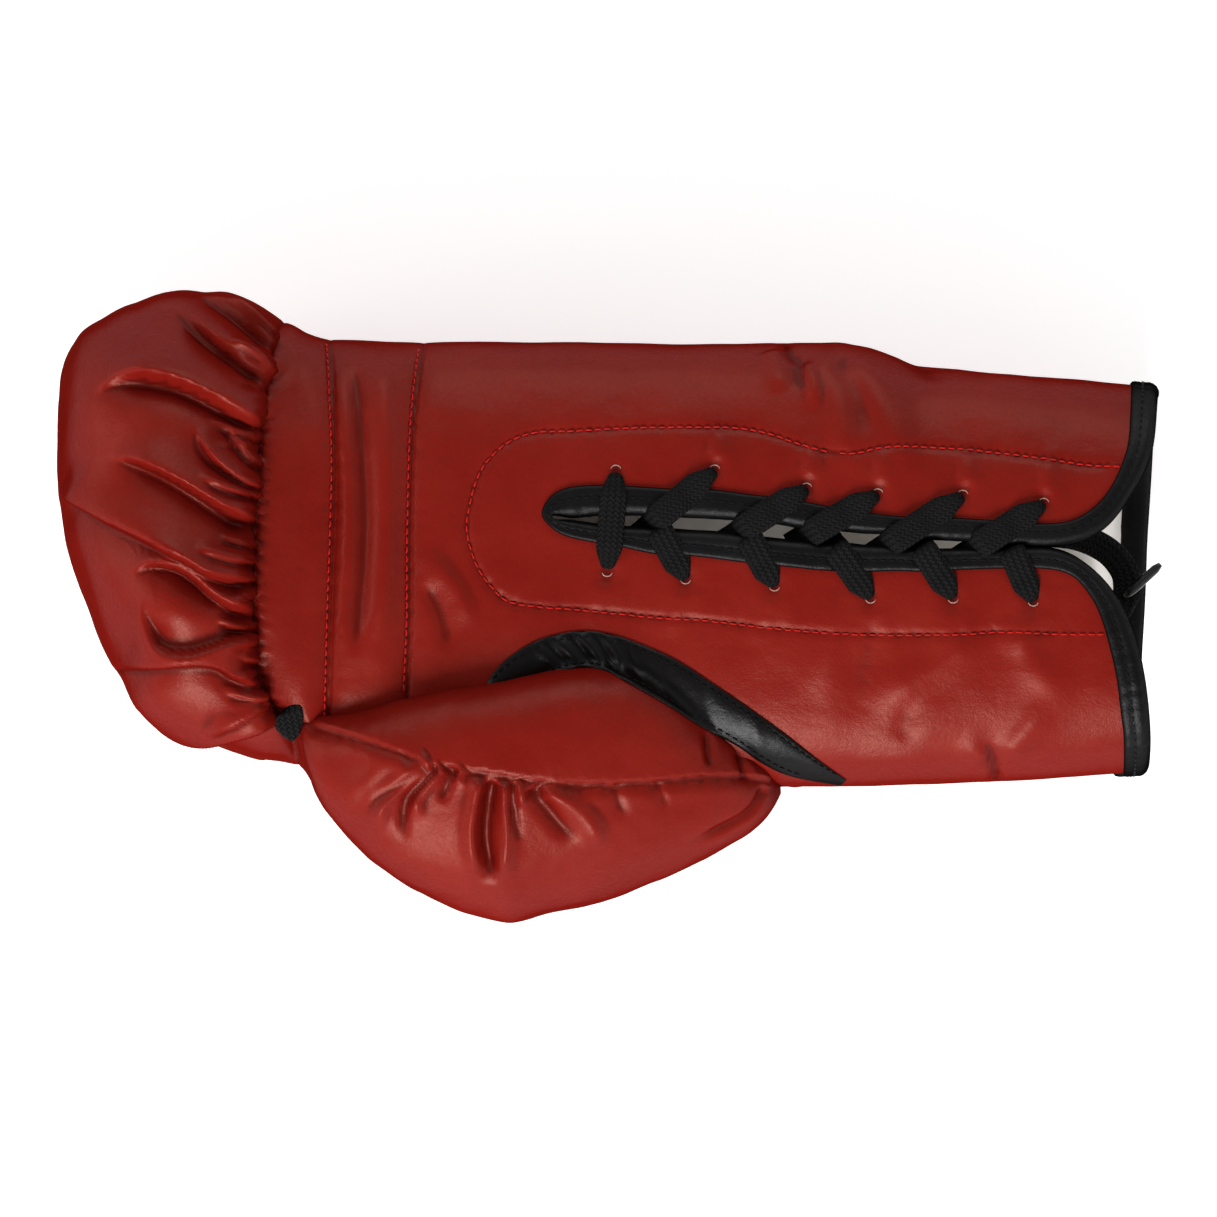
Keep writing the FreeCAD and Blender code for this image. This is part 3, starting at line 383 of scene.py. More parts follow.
STROKES = [
    # finger pad: long lips of slack leather running down from the upper left to the seam
    Fold([(98, 398), (118, 384), (143, 378), (173, 382), (199, 391), (225, 404), (249, 420), (266, 434)], 3.0, 7.5, 1.3, 5.5, 0.75, (0.35, 0.13)),
    Fold([(214, 420), (238, 432), (264, 444)], 1.1, 2.0, 0.9, 2.2, 0.6, (0.5, 0.13)),
    Fold([(116, 457), (141, 461), (163, 469), (186, 481), (209, 495), (234, 511), (263, 524)], 2.7, 5.5, 1.3, 5.0, 0.8, (0.3, 0.13)),
    Fold([(61, 489), (83, 502), (116, 521), (146, 534), (173, 547), (196, 560), (216, 572), (238, 578), (264, 580)], 2.7, 7.0, 1.2, 6.5, 0.7, (0.12, 0.13)),
    Fold([(136, 574), (158, 563), (183, 566), (203, 577), (219, 591), (238, 604), (260, 611)], 2.4, 4.5, 1.2, 4.0, 0.8, (0.3, 0.13)),
    Dome((186, 612), 2.4, 14, 7, -12),
    Fold([(259, 634), (229, 643), (196, 652), (168, 646), (153, 622), (147, 594)], 1.7, 4.0, 1.3, 4.0, 0.6, (0.03, 0.35)),
    Fold([(108, 664), (140, 663), (170, 662), (200, 660), (222, 664), (240, 675), (263, 684)], 2.2, 4.5, 1.1, 4.5, 0.8, (0.3, 0.13)),
    Fold([(116, 668), (140, 692), (163, 715), (186, 731), (212, 736), (238, 731), (262, 725), (284, 716)], 2.8, 8.0, 1.4, 5.0, 0.7, (0.25, 0.13)),
    Fold([(209, 726), (236, 717), (256, 708), (274, 702)], 1.1, 1.8, 1.0, 1.8, 0.6, (0.3, 0.13)),
    # folds that fan out of the corner where the shell turns over the roll
    Fold([(178, 312), (203, 330), (222, 346), (242, 361), (258, 375), (269, 390)], 2.4, 5.0, 1.2, 4.5, 0.7, (0.35, 0.13)),
    Fold([(226, 347), (250, 360), (268, 377)], 1.5, 2.4, 0.9, 2.4, 0.7, (0.35, 0.13)),
    Fold([(200, 297), (236, 316), (260, 338), (272, 355)], 2.0, 3.4, 1.0, 3.0, 0.7, (0.35, 0.13)),
    Fold([(226, 305), (252, 323), (273, 342)], 1.4, 2.2, 0.9, 2.0, 0.7, (0.35, 0.13)),
    Stroke([(104, 332), (130, 313), (159, 307), (183, 309), (212, 320)], 1.6, 6.0, 5.0, (0.3, 0.3)),
    # shorter gathers between them
    Fold([(203, 428), (214, 452), (228, 468), (246, 482), (264, 491)], 1.7, 3.2, 1.0, 3.0, 0.7, (0.35, 0.13)),
    Fold([(235, 426), (244, 446), (254, 462), (265, 471)], 1.3, 2.2, 0.9, 2.0, 0.7, (0.35, 0.13)),
    Fold([(205, 477), (229, 489), (249, 495), (264, 499)], 1.5, 2.4, 0.9, 2.4, 0.7, (0.35, 0.13)),
    Fold([(224, 536), (243, 544), (264, 547)], 1.3, 2.0, 0.9, 2.2, 0.7, (0.4, 0.13)),
    Fold([(200, 547), (222, 555), (242, 560), (264, 562)], 1.3, 2.2, 0.9, 2.2, 0.7, (0.35, 0.13)),
    Fold([(230, 604), (246, 597), (263, 594)], 1.1, 1.8, 0.9, 1.8, 0.7, (0.4, 0.13)),
    Fold([(220, 617), (240, 626), (262, 629)], 1.3, 2.0, 0.9, 2.0, 0.7, (0.4, 0.13)),
    Fold([(238, 654), (263, 662)], 1.0, 1.6, 0.8, 1.8, 0.7, (0.5, 0.13)),
    Fold([(228, 690), (250, 694), (268, 701)], 1.1, 1.8, 0.9, 1.8, 0.7, (0.4, 0.13)),
    Stroke([(352, 352), (361, 420), (367, 520), (362, 600), (354, 660)], -1.7, 2.6, 3.4, (0.15, 0.15)),
    Stroke([(382, 352), (388, 440), (388, 560), (380, 650)], 1.0, 3.0, 3.4, (0.15, 0.15)),
    Stroke([(345, 356), (350, 430), (353, 520), (350, 600), (342, 660)], 1.0, 2.6, 3.2, (0.15, 0.15)),
    Stroke([(300, 350), (304, 420), (306, 520), (302, 620), (300, 680)], -0.9, 4.0, 5.0, (0.2, 0.2)),
    # palm
    Stroke([(430, 540), (440, 566), (454, 585), (466, 606), (472, 632)], 1.1, 2.6, 4.2, (0.35, 0.3)),
    Stroke([(424, 578), (436, 600), (446, 628), (448, 655)], -0.9, 2.6, 2.6, (0.3, 0.3)),
    # wrist: a sharp pinch at the side with broad drapes fanning out of it
    Stroke([(788, 344), (791, 354), (799, 363), (800, 380), (804, 394)], -1.2, 1.6, 2.6, (0.0, 0.4)),
    Stroke([(803, 362), (810, 380), (812, 398), (808, 416)], 1.3, 1.9, 2.4, (0.15, 0.5)),
    Stroke([(812, 352), (826, 372), (836, 402), (842, 440), (844, 478)], 1.0, 4.0, 4.8, (0.15, 0.35)),
    Stroke([(841, 355), (862, 373), (880, 402), (892, 429), (896, 459), (893, 492)], 1.3, 6.0, 6.0, (0.15, 0.3)),
    Stroke([(834, 356), (852, 384), (862, 414), (868, 446)], -0.7, 3.6, 4.2, (0.15, 0.4)),
    Stroke([(770, 350), (776, 372), (780, 396)], 0.9, 3.4, 3.6, (0.1, 0.4)),
    Dome((930, 372), -1.4, 5.0, 3.0, -20),
    # radial flap: drapes that rise from a pinch in the lower edge
    Stroke([(995, 778), (991, 762), (987, 750), (980, 738)], -1.4, 1.4, 1.8, (0.0, 0.6)),
    Stroke([(1000, 762), (1012, 745), (1026, 726), (1036, 708), (1042, 690)], 0.9, 3.4, 5.0, (0.25, 0.45)),
    Stroke([(984, 766), (970, 748), (956, 735)], 0.5, 3.0, 4.0, (0.25, 0.5)),
    Dome((933, 727), 0.6, 12.0, 10.0),
    Stroke([(974, 625), (955, 648), (922, 672), (888, 692), (874, 718)], 1.25, 5.0, 6.5, (0.25, 0.35)),
    Stroke([(1012, 610), (1018, 640), (1030, 664), (1048, 690), (1052, 716)], 1.05, 5.0, 5.5, (0.25, 0.4)),
    Stroke([(832, 585), (830, 633), (823, 672), (812, 706)], 0.85, 5.0, 5.5, (0.25, 0.4)),
    Stroke([(858, 596), (864, 640), (858, 690), (846, 730)], -0.7, 4.5, 5.0, (0.25, 0.4)),
    Stroke([(898, 745), (905, 720), (912, 690)], -0.5, 3.6, 3.8, (0.3, 0.5)),
    Dome((905, 762), 0.6, 9.0, 5.0),
]
for hx, hy in HOLES_L:
    # soft tension drapes below the lower holes and above the upper ones
    STROKES.append(Stroke([(hx - 0.5, hy - 2.5), (hx - 2.5, hy - 9), (hx - 6.5, hy - 19)], 0.85, 3.0, 3.8, (0.25, 0.6), plain=True))
    STROKES.append(Stroke([(hx + 3.4, hy - 2.0), (hx + 3.6, hy - 8), (hx + 2.2, hy - 16)], 0.45, 2.6, 3.2, (0.25, 0.6), plain=True))
for hx, hy in HOLES_U[1:]:
    STROKES.append(Stroke([(hx + 0.5, hy + 2.0), (hx + 1.2, hy + 8), (hx + 0.4, hy + 17)], 1.15, 2.6, 3.2, (0.25, 0.6), plain=True))
for k in range(6):
    # the lace pulls the leather in at every hole
    for hx, hy in (HOLES_U[k], HOLES_L[k]):
        STROKES.append(Dome((hx / 0.3 + 608.5, 608.5 - hy / 0.3), -1.1, 3.0, 3.0))
        STROKES.append(Dome((hx / 0.3 + 608.5, 608.5 - hy / 0.3), 0.5, 6.5, 6.0))

# gathers along the finger seam: short puckers that open out over the pad
g_y = -30.0
while g_y < 78.0:
    sx = float(line_at(SEAM_LINE, np.array(g_y)))
    ln = rng.uniform(7.0, 17.0)
    slope_ = rng.uniform(-0.10, 0.16) + (g_y - 20.0) * 0.0035
    pts = [(sx - 0.3, g_y), (sx - ln * 0.5, g_y + slope_ * ln * 0.5 + rng.uniform(-0.5, 0.5)), (sx - ln, g_y + slope_ * ln)]
    STROKES.append(Stroke(pts, rng.uniform(0.4, 0.9), rng.uniform(1.0, 1.5), rng.uniform(1.3, 2.0), (0.0, 0.7), plain=True))
    off = rng.uniform(1.1, 1.9)
    STROKES.append(Stroke([(a, b - off) for a, b in pts], -rng.uniform(0.3, 0.7), 0.9, 1.0, (0.0, 0.6), plain=True))
    # and a smaller pucker on the roll's side
    STROKES.append(Stroke([(sx + 0.3, g_y), (sx + rng.uniform(3, 6), g_y + rng.uniform(-0.6, 0.6))], rng.uniform(0.2, 0.5), 1.0, 1.2, (0.0, 0.8), plain=True))
    g_y += rng.uniform(3.0, 4.8)
for line, lo_y, hi_y, amp in ((ROLL_LINE, -26, 78, 0.16), (PALM_LINE, -20, 78, 0.14)):
    y = lo_y
    while y < hi_y:
        sx = float(line_at(line, np.array(float(y))))
        for s in (-1, 1):
            L = rng.uniform(4, 8.5)
            STROKES.append(Stroke([(sx + s * 0.4, y), (sx + s * L, y + rng.uniform(-1.2, 1.2))], -amp * rng.uniform(0.6, 1.4), 1.5, 1.5, (0.0, 0.8), plain=True))
        y += rng.uniform(4.5, 7.5)
# the stitched facing leaves a shallow groove, puckered by its stitches
STROKES.append(Stroke(FACE_U[1:-1], -0.55, 1.2, 1.2, (0.02, 0.02), plain=True))
face_fine = spline(FACE_U, step=1.0)
k = 8
while k < len(face_fine) - 8:
    t = face_fine[k + 1] - face_fine[k - 1]
    t = t / np.linalg.norm(t)
    n2 = np.array([-t[1], t[0]])
    for s in (-1, 1):
        if rng.random() < 0.75:
            a = face_fine[k] + s * n2 * 0.5
            b = face_fine[k] + s * n2 * rng.uniform(3.0, 6.5) + t * rng.uniform(-1.5, 1.5)
            STROKES.append(Stroke([tuple(a), tuple(b)], -rng.uniform(0.08, 0.22), 1.2, 1.4, (0.0, 0.8), plain=True))
    k += int(rng.uniform(5, 11))


def sculpt(P, N, strokes, zfade=7.0, up=0.35):
    x, y, z = P[..., 0], P[..., 1], P[..., 2]
    d = np.zeros_like(x)
    for s in strokes:
        d += s.field(x, y)
    d *= smooth(z / zfade)
    direction = N * (1 - up) + np.array([0, 0, 1.0]) * up
    direction /= np.linalg.norm(direction, axis=-1, keepdims=True)
    return P + direction * d[..., None], d


def leather_waves(P, N, amp=0.55):
    """Soft unevenness of padding under leather."""
    n = fbm(P[::3, ::3], 26.0, 2, 3.3)
    n += 0.24 * fbm(P[::3, ::3] * np.array([1.0, 1.6, 1.0]), 9.0, 2, 9.1)
    full = np.empty(P.shape[:2])
    rows = np.arange(P.shape[0])
    cols = np.arange(P.shape[1])
    mid = np.array([np.interp(cols, cols[::3], r) for r in n])
    for j in range(P.shape[1]):
        full[:, j] = np.interp(rows, rows[::3], mid[:, j])
    return P + N * (amp * full)[..., None]


# orient the normals outwards: x grows, v runs from the ulnar to the radial side
N_top = -grid_normals(top)
if N_top[len(X0) // 2, NV // 2, 2] < 0:
    N_top = -N_top
N_bot = grid_normals(bot)
if N_bot[len(X0) // 2, NB // 2, 2] > 0:
    N_bot = -N_bot
x0g = X0[:, None] + 0 * Yt
top = top + (N_top * 0.4 + np.array([0, 0, 0.6])) * rolls(x0g, Yt, Zt)[..., None]
side_fade = 0.35 * 0.4
bot = bot + N_bot * (rolls(X0[:, None] + 0 * Yb, Yb, 0 * Zb) * 0.4 * smooth(1 - np.abs(Zb) / 20.0))[..., None]
# match the two halves exactly at the side lines
edge0, edge1 = top[:, 0].copy(), top[:, -1].copy()
f0 = smooth(1 - V_BOT / 0.15)[None, :, None]
f1 = smooth(1 - (1 - V_BOT) / 0.15)[None, :, None]
bot = bot + (edge0 - bot[:, 0])[:, None, :] * f0 + (edge1 - bot[:, -1])[:, None, :] * f1
N_top = -grid_normals(top)
if N_top[len(X0) // 2, NV // 2, 2] < 0:
    N_top = -N_top
top, d_top = sculpt(top, N_top, STROKES)
N_top = -grid_normals(top)
if N_top[len(X0) // 2, NV // 2, 2] < 0:
    N_top = -N_top
top = leather_waves(top, N_top)
N_bot = grid_normals(bot)
if N_bot[len(X0) // 2, NB // 2, 2] > 0:
    N_bot = -N_bot
bot = leather_waves(bot, N_bot, 0.5)
edge0, edge1 = top[:, 0].copy(), top[:, -1].copy()
bot = bot + (edge0 - bot[:, 0])[:, None, :] * f0 + (edge1 - bot[:, -1])[:, None, :] * f1
# the back flattens where it rests
floor_z = -62.2
soft = 3.0
zb_ = bot[..., 2]
bot[..., 2] = np.where(zb_ < floor_z + soft, np.maximum(floor_z + soft * np.exp(np.minimum((zb_ - floor_z - soft) / soft, 0)) - 0.0 * zb_, floor_z), zb_)
# slack folds on the back of the fingers and across the back of the wrist
xb, yb2, zb2 = bot[..., 0], bot[..., 1], bot[..., 2]
low = smooth(-zb2 / 14.0)
for cx, amp, w in ((48.0, -1.8, 3.0), (58.0, 1.3, 3.4), (70.0, -2.0, 3.2), (-103.0, -2.6, 2.2), (-20.0, 0.0, 1.0)):
    bend = cx + 2.0 * np.sin(yb2 / 23.0 + cx)
    bot = bot + N_bot * (amp * low * np.exp(-(((xb - bend) / w) ** 2)) * (zb2 > floor_z + 1.5))[..., None]

# gathers of the knuckle seam round the sides and back, and slack drapes behind the thumb
round_s = V_BOT[None, :] * 230.0 + 0 * bot[..., 0]
B_STROKES = []
g_s = 3.0
while g_s < 227.0:
    L = rng.uniform(7.0, 20.0)
    sl = rng.uniform(-0.25, 0.25)
    B_STROKES.append(Stroke([(-103.6, g_s), (-103.6 - L, g_s + sl * L)], rng.uniform(0.35, 1.0), rng.uniform(1.3, 2.4), rng.uniform(1.3, 2.4), (0.0, 0.7), plain=True))
    B_STROKES.append(Stroke([(-103.6, g_s + 2.2), (-103.6 - 0.7 * L, g_s + 2.2 + sl * L)], -rng.uniform(0.2, 0.7), 1.0, 1.1, (0.0, 0.7), plain=True))
    B_STROKES.append(Stroke([(-102.4, g_s), (-102.4 + rng.uniform(4, 9), g_s)], -rng.uniform(0.15, 0.5), 1.2, 1.2, (0.0, 0.8), plain=True))
    g_s += rng.uniform(4.0, 7.5)
d = np.zeros(bot.shape[:2])
for b_s in B_STROKES:
    d += b_s.field(bot[..., 0], round_s)
d *= smooth(-bot[..., 2] / 8.0) * smooth((bot[..., 2] - floor_z - 1.0) / 10.0)
bot = bot + N_bot * d[..., None]


def all_normals(P, outward_down=False):
    n = grid_normals(P)
    ref = n[P.shape[0] // 2, P.shape[1] // 2, 2]
    if (ref < 0) != outward_down:
        n = -n
    return n


N_top = all_normals(top)
N_bot = all_normals(bot, True)
# shared normals on the side lines
for e, k in ((0, 0), (-1, -1)):
    m = N_top[:, e] + N_bot[:, k]
    m /= np.linalg.norm(m, axis=1, keepdims=True)
    N_top[:, e] = m
    N_bot[:, k] = m


def hollow(P, N, reach=2):
    """How far a point sits below its neighbours, 0 to 1: it drives the painted shade of creases."""
    out = np.zeros(P.shape[:2])
    for r in (1, reach, 2 * reach):
        pad = np.pad(P, ((r, r), (r, r), (0, 0)), mode="edge")
        lap = (pad[2 * r :, r:-r] + pad[: -2 * r, r:-r] + pad[r:-r, 2 * r :] + pad[r:-r, : -2 * r]) / 4 - P
        out += np.einsum("ijk,ijk->ij", lap, N) / (0.05 * r * r)
    return np.clip(out / 3, -1, 1)


cav_top = hollow(top, N_top)
cav_bot = hollow(bot, N_bot)

# ---------------------------------------------------------------- mesh helpers
ALL = {}


def make(name, verts, faces, material, normals=None, attrs=None, uv=None, weld=False):
    """verts in millimetres about the glove's middle."""
    v = (np.asarray(verts, float) + SHIFT) / 1000.0
    me = bpy.data.meshes.new(name)
    me.from_pydata(v.tolist(), [], [list(map(int, f)) for f in faces])
    if attrs:
        for key, val in attrs.items():
            a = me.attributes.new(key, "FLOAT", "POINT")
            a.data.foreach_set("value", np.asarray(val, np.float32))
    if uv is not None:
        layer = me.uv_layers.new(name="UVMap")
        loops = np.empty(len(me.loops), int)
        me.loops.foreach_get("vertex_index", loops)
        layer.data.foreach_set("uv", np.asarray(uv, np.float32)[loops].ravel())
    me.validate(clean_customdata=False)
    me.update()
    me.polygons.foreach_set("use_smooth", [True] * len(me.polygons))
    if normals is not None:
        me.normals_split_custom_set_from_vertices([tuple(n) for n in np.asarray(normals, float)])
    o = bpy.data.objects.new(name, me)
    bpy.context.scene.collection.objects.link(o)
    o.data.materials.append(material)
    ALL[name] = o
    return o


def grid_faces(nu, nv, mask=None, flip=False, closed=False):
    i, j = np.meshgrid(np.arange(nu - 1), np.arange(nv if closed else nv - 1), indexing="ij")
    jn = (j + 1) % nv
    a, b, c, d = i * nv + j, i * nv + jn, (i + 1) * nv + jn, (i + 1) * nv + j
    f = np.stack([a, b, c, d] if not flip else [d, c, b, a], axis=-1)
    if mask is not None:
        f = f[mask]
    return f.reshape(-1, 4)


def compact(verts, faces, *arrays):
    used = np.unique(faces)
    remap = np.full(len(verts), -1)
    remap[used] = np.arange(len(used))
    return [verts[used], remap[faces]] + [a[used] for a in arrays]


def inside(poly, x, y):
    """Point in polygon for arrays."""
    poly = np.asarray(poly)
    out = np.zeros(x.shape, bool)
    x1, y1 = poly[:, 0], poly[:, 1]
    x2, y2 = np.roll(x1, -1), np.roll(y1, -1)
    for a, b, c, d in zip(x1, y1, x2, y2):
        if b == d:
            continue
        cross = (y > min(b, d)) & (y <= max(b, d)) & (x < (c - a) * (y - b) / (d - b) + a)
        out ^= cross
    return out


# --------------------------------------------------------------------- materials
def nodes_of(name):
    m = bpy.data.materials.new(name)
    m.use_nodes = True
    t = m.node_tree
    t.nodes.clear()
    out = t.nodes.new("ShaderNodeOutputMaterial")
    p = t.nodes.new("ShaderNodeBsdfPrincipled")
    t.links.new(p.outputs[0], out.inputs[0])
    return m, t, p


def lin(r, g, b):
    f = lambda c: (c / 255 / 12.92) if c / 255 <= 0.04045 else ((c / 255 + 0.055) / 1.055) ** 2.4
    return (f(r), f(g), f(b), 1.0)


def N(t, kind, **kw):
    n = t.nodes.new(kind)
    for k, v in kw.items():
        if k in n.inputs:
            n.inputs[k].default_value = v
        else:
            setattr(n, k, v)
    return n


def mm_coords(t, scale=1000.0):
    c = N(t, "ShaderNodeTexCoord")
    m = N(t, "ShaderNodeMapping")
    m.inputs["Scale"].default_value = (scale,) * 3
    t.links.new(c.outputs["Object"], m.inputs[0])
    return m.outputs[0]


def mixc(t, fac, a, b, mode="MIX"):
    m = t.nodes.new("ShaderNodeMix")
    m.data_type = "RGBA"
    m.blend_type = mode
    for sock, val in ((m.inputs[0], fac), (m.inputs[6], a), (m.inputs[7], b)):
        if hasattr(val, "is_output") or isinstance(val, bpy.types.NodeSocket):
            t.links.new(val, sock)
        else:
            sock.default_value = val
    return m.outputs[2]


def mathn(t, op, a, b=None, clamp=False):
    m = t.nodes.new("ShaderNodeMath")
    m.operation = op
    m.use_clamp = clamp
    for k, val in enumerate((a, b)):
        if val is None:
            continue
        if isinstance(val, bpy.types.NodeSocket):
            t.links.new(val, m.inputs[k])
        else:
            m.inputs[k].default_value = val
    return m.outputs[0]


def ramp(t, src, lo_, hi_, a=0.0, b=1.0):
    m = t.nodes.new("ShaderNodeMapRange")
    t.links.new(src, m.inputs["Value"])
    m.inputs["From Min"].default_value, m.inputs["From Max"].default_value = lo_, hi_
    m.inputs["To Min"].default_value, m.inputs["To Max"].default_value = a, b
    return m.outputs[0]


def leather(name, main, light, dark, rough=0.42, grain=0.30, coat=0.06, wrinkle=0.35, spec=0.42, tint=(1.0, 1.0, 1.0, 1.0)):
    m, t, p = nodes_of(name)
    co = mm_coords(t)
    big = N(t, "ShaderNodeTexNoise", Scale=0.03, Detail=4.0, Roughness=0.6)
    t.links.new(co, big.inputs["Vector"])
    fine = N(t, "ShaderNodeTexNoise", Scale=0.9, Detail=5.0, Roughness=0.65)
    t.links.new(co, fine.inputs["Vector"])
    vor = N(t, "ShaderNodeTexVoronoi", Scale=1.35, feature="F1")
    t.links.new(co, vor.inputs["Vector"])
    wr = N(t, "ShaderNodeTexNoise", Scale=0.22, Detail=6.0, Roughness=0.62, Distortion=1.2)
    t.links.new(co, wr.inputs["Vector"])
    c = mixc(t, ramp(t, big.outputs[0], 0.35, 0.68), main, light)
    c = mixc(t, ramp(t, fine.outputs[0], 0.42, 0.75, 0.0, 0.16), c, dark)
    # painted shade: the colour darkens towards the dark tone in creases, by the cav measure
    att = N(t, "ShaderNodeAttribute", attribute_name="cav")
    c = mixc(t, ramp(t, att.outputs["Fac"], 0.26, 1.0, 0.0, 0.5), c, dark)
    # painted shade: the colour darkens where the surface turns away from the view, and the sheen fades there too
    lw = N(t, "ShaderNodeLayerWeight", Blend=0.5)
    c = mixc(t, ramp(t, lw.outputs["Facing"], 0.2, 0.85, 0.0, 0.42), c, dark)
    t.links.new(c, p.inputs["Base Color"])
    r = mathn(t, "ADD", ramp(t, big.outputs[0], 0.3, 0.7, rough - 0.05, rough + 0.05), ramp(t, fine.outputs[0], 0.3, 0.7, -0.04, 0.05))
    t.links.new(r, p.inputs["Roughness"])
    p.inputs["Specular IOR Level"].default_value = spec
    away = mathn(t, "POWER", ramp(t, lw.outputs["Facing"], 0.22, 0.78, 1.0, 0.0), 3.0)
    t.links.new(mathn(t, "ADD", mathn(t, "MULTIPLY", away, spec), 0.000002), p.inputs["Specular IOR Level"])
    p.inputs["Specular Tint"].default_value = tint
    p.inputs["Coat Weight"].default_value = coat
    p.inputs["Coat Roughness"].default_value = 0.35
    h = mathn(t, "ADD", mathn(t, "MULTIPLY", vor.outputs["Distance"], -0.55), mathn(t, "MULTIPLY", fine.outputs[0], 0.8))
    b1 = N(t, "ShaderNodeBump", Strength=grain, Distance=0.00022)
    t.links.new(h, b1.inputs["Height"])
    b2 = N(t, "ShaderNodeBump", Strength=wrinkle, Distance=0.0011)
    t.links.new(wr.outputs[0], b2.inputs["Height"])
    t.links.new(b1.outputs[0], b2.inputs["Normal"])
    t.links.new(b2.outputs[0], p.inputs["Normal"])
    return m


RED = leather("red_leather", (0.160, 0.0062, 0.0036, 1), (0.188, 0.0092, 0.0054, 1), (0.036, 0.0018, 0.0014, 1), 0.36, 0.22, 0.0, 0.14, 0.19, (1.0, 0.55, 0.44, 1.0))
BIND = leather("black_binding", (0.0030, 0.0028, 0.0030, 1), (0.0052, 0.0048, 0.0052, 1), (0.001, 0.001, 0.001, 1), 0.42, 0.4, 0.0, 0.2, 0.12)
WELT = leather("black_welt", (0.0032, 0.0026, 0.0026, 1), (0.0055, 0.0044, 0.0044, 1), (0.001, 0.001, 0.001, 1), 0.33, 0.2, 0.02, 0.2, 0.13)


def cloth(name, a, b, pitch, rough=0.85, bump=0.4, uvmap=False):
    m, t, p = nodes_of(name)
    if uvmap:
        uvn = N(t, "ShaderNodeUVMap")
        co = uvn.outputs[0]
    else:
        co = mm_coords(t)
    w1 = N(t, "ShaderNodeTexWave", Scale=1.0 / pitch / 2, Distortion=0.4)
    w1.bands_direction = "X"
    w2 = N(t, "ShaderNodeTexWave", Scale=1.0 / pitch / 2, Distortion=0.4)
    w2.bands_direction = "Y"
    t.links.new(co, w1.inputs["Vector"])
    t.links.new(co, w2.inputs["Vector"])
    n = N(t, "ShaderNodeTexNoise", Scale=0.12, Detail=5.0)
    t.links.new(co, n.inputs["Vector"])
    mul = mathn(t, "MULTIPLY", w1.outputs["Fac"], w2.outputs["Fac"])
    c = mixc(t, ramp(t, n.outputs[0], 0.35, 0.65), a, b)
    # painted shade between the threads: darker where the weave is low
    c = mixc(t, ramp(t, mul, 0.0, 0.6, 0.35, 0.0), c, tuple(x * 0.55 for x in a[:3]) + (1.0,))
    # painted shade: the colour darkens in creases, by the cav measure
    att = N(t, "ShaderNodeAttribute", attribute_name="cav")
    c = mixc(t, ramp(t, att.outputs["Fac"], 0.1, 0.9, 0.0, 0.35), c, tuple(x * 0.4 for x in a[:3]) + (1.0,))
    t.links.new(c, p.inputs["Base Color"])
    p.inputs["Roughness"].default_value = rough
    p.inputs["Specular IOR Level"].default_value = 0.25
    bp = N(t, "ShaderNodeBump", Strength=bump, Distance=0.0003)
    t.links.new(mul, bp.inputs["Height"])
    t.links.new(bp.outputs[0], p.inputs["Normal"])
    return m


def braid(name, a, b):
    """A flat braid: herringbone of strands at both diagonals, from the ribbon's own coordinates in mm."""
    m, t, p = nodes_of(name)
    uvn = N(t, "ShaderNodeUVMap")
    sep = N(t, "ShaderNodeSeparateXYZ")
    t.links.new(uvn.outputs[0], sep.inputs[0])
    av = mathn(t, "ABSOLUTE", mathn(t, "SUBTRACT", mathn(t, "MODULO", mathn(t, "ADD", sep.outputs[1], 40.0), 1.9), 0.95))
    u = mathn(t, "ADD", sep.outputs[0], mathn(t, "MULTIPLY", av, 1.1))
    s = mathn(t, "SINE", mathn(t, "MULTIPLY", u, 2 * math.pi / 1.5))
    col = mathn(t, "SINE", mathn(t, "MULTIPLY", sep.outputs[1], 2 * math.pi / 1.9))
    h = mathn(t, "ADD", mathn(t, "MULTIPLY", s, 0.5), mathn(t, "MULTIPLY", col, 0.45))
    n = N(t, "ShaderNodeTexNoise", Scale=3.0, Detail=3.0)
    t.links.new(uvn.outputs[0], n.inputs["Vector"])
    hh = mathn(t, "ADD", h, mathn(t, "MULTIPLY", n.outputs[0], 0.5))
    # painted shade and highlight: the colour follows the strands' height, darker in the grooves and lighter on the
    # crowns, with some random tone from the noise
    c = mixc(t, ramp(t, hh, -0.6, 1.0), a, b)
    t.links.new(c, p.inputs["Base Color"])
    p.inputs["Roughness"].default_value = 0.72
    p.inputs["Specular IOR Level"].default_value = 0.12
    bp = N(t, "ShaderNodeBump", Strength=0.85, Distance=0.00035)
    t.links.new(hh, bp.inputs["Height"])
    t.links.new(bp.outputs[0], p.inputs["Normal"])
    return m


LACE = braid("black_lace", (0.0008, 0.0007, 0.0007, 1), (0.0058, 0.0053, 0.0053, 1))
WEB = braid("black_webbing", (0.0010, 0.0009, 0.0009, 1), (0.0075, 0.0068, 0.0068, 1))
LINING = cloth("lining", lin(230, 225, 218), lin(238, 233, 227), 0.5, 0.8, 0.35)
lb_ = next(n for n in LINING.node_tree.nodes if n.type == "BSDF_PRINCIPLED")
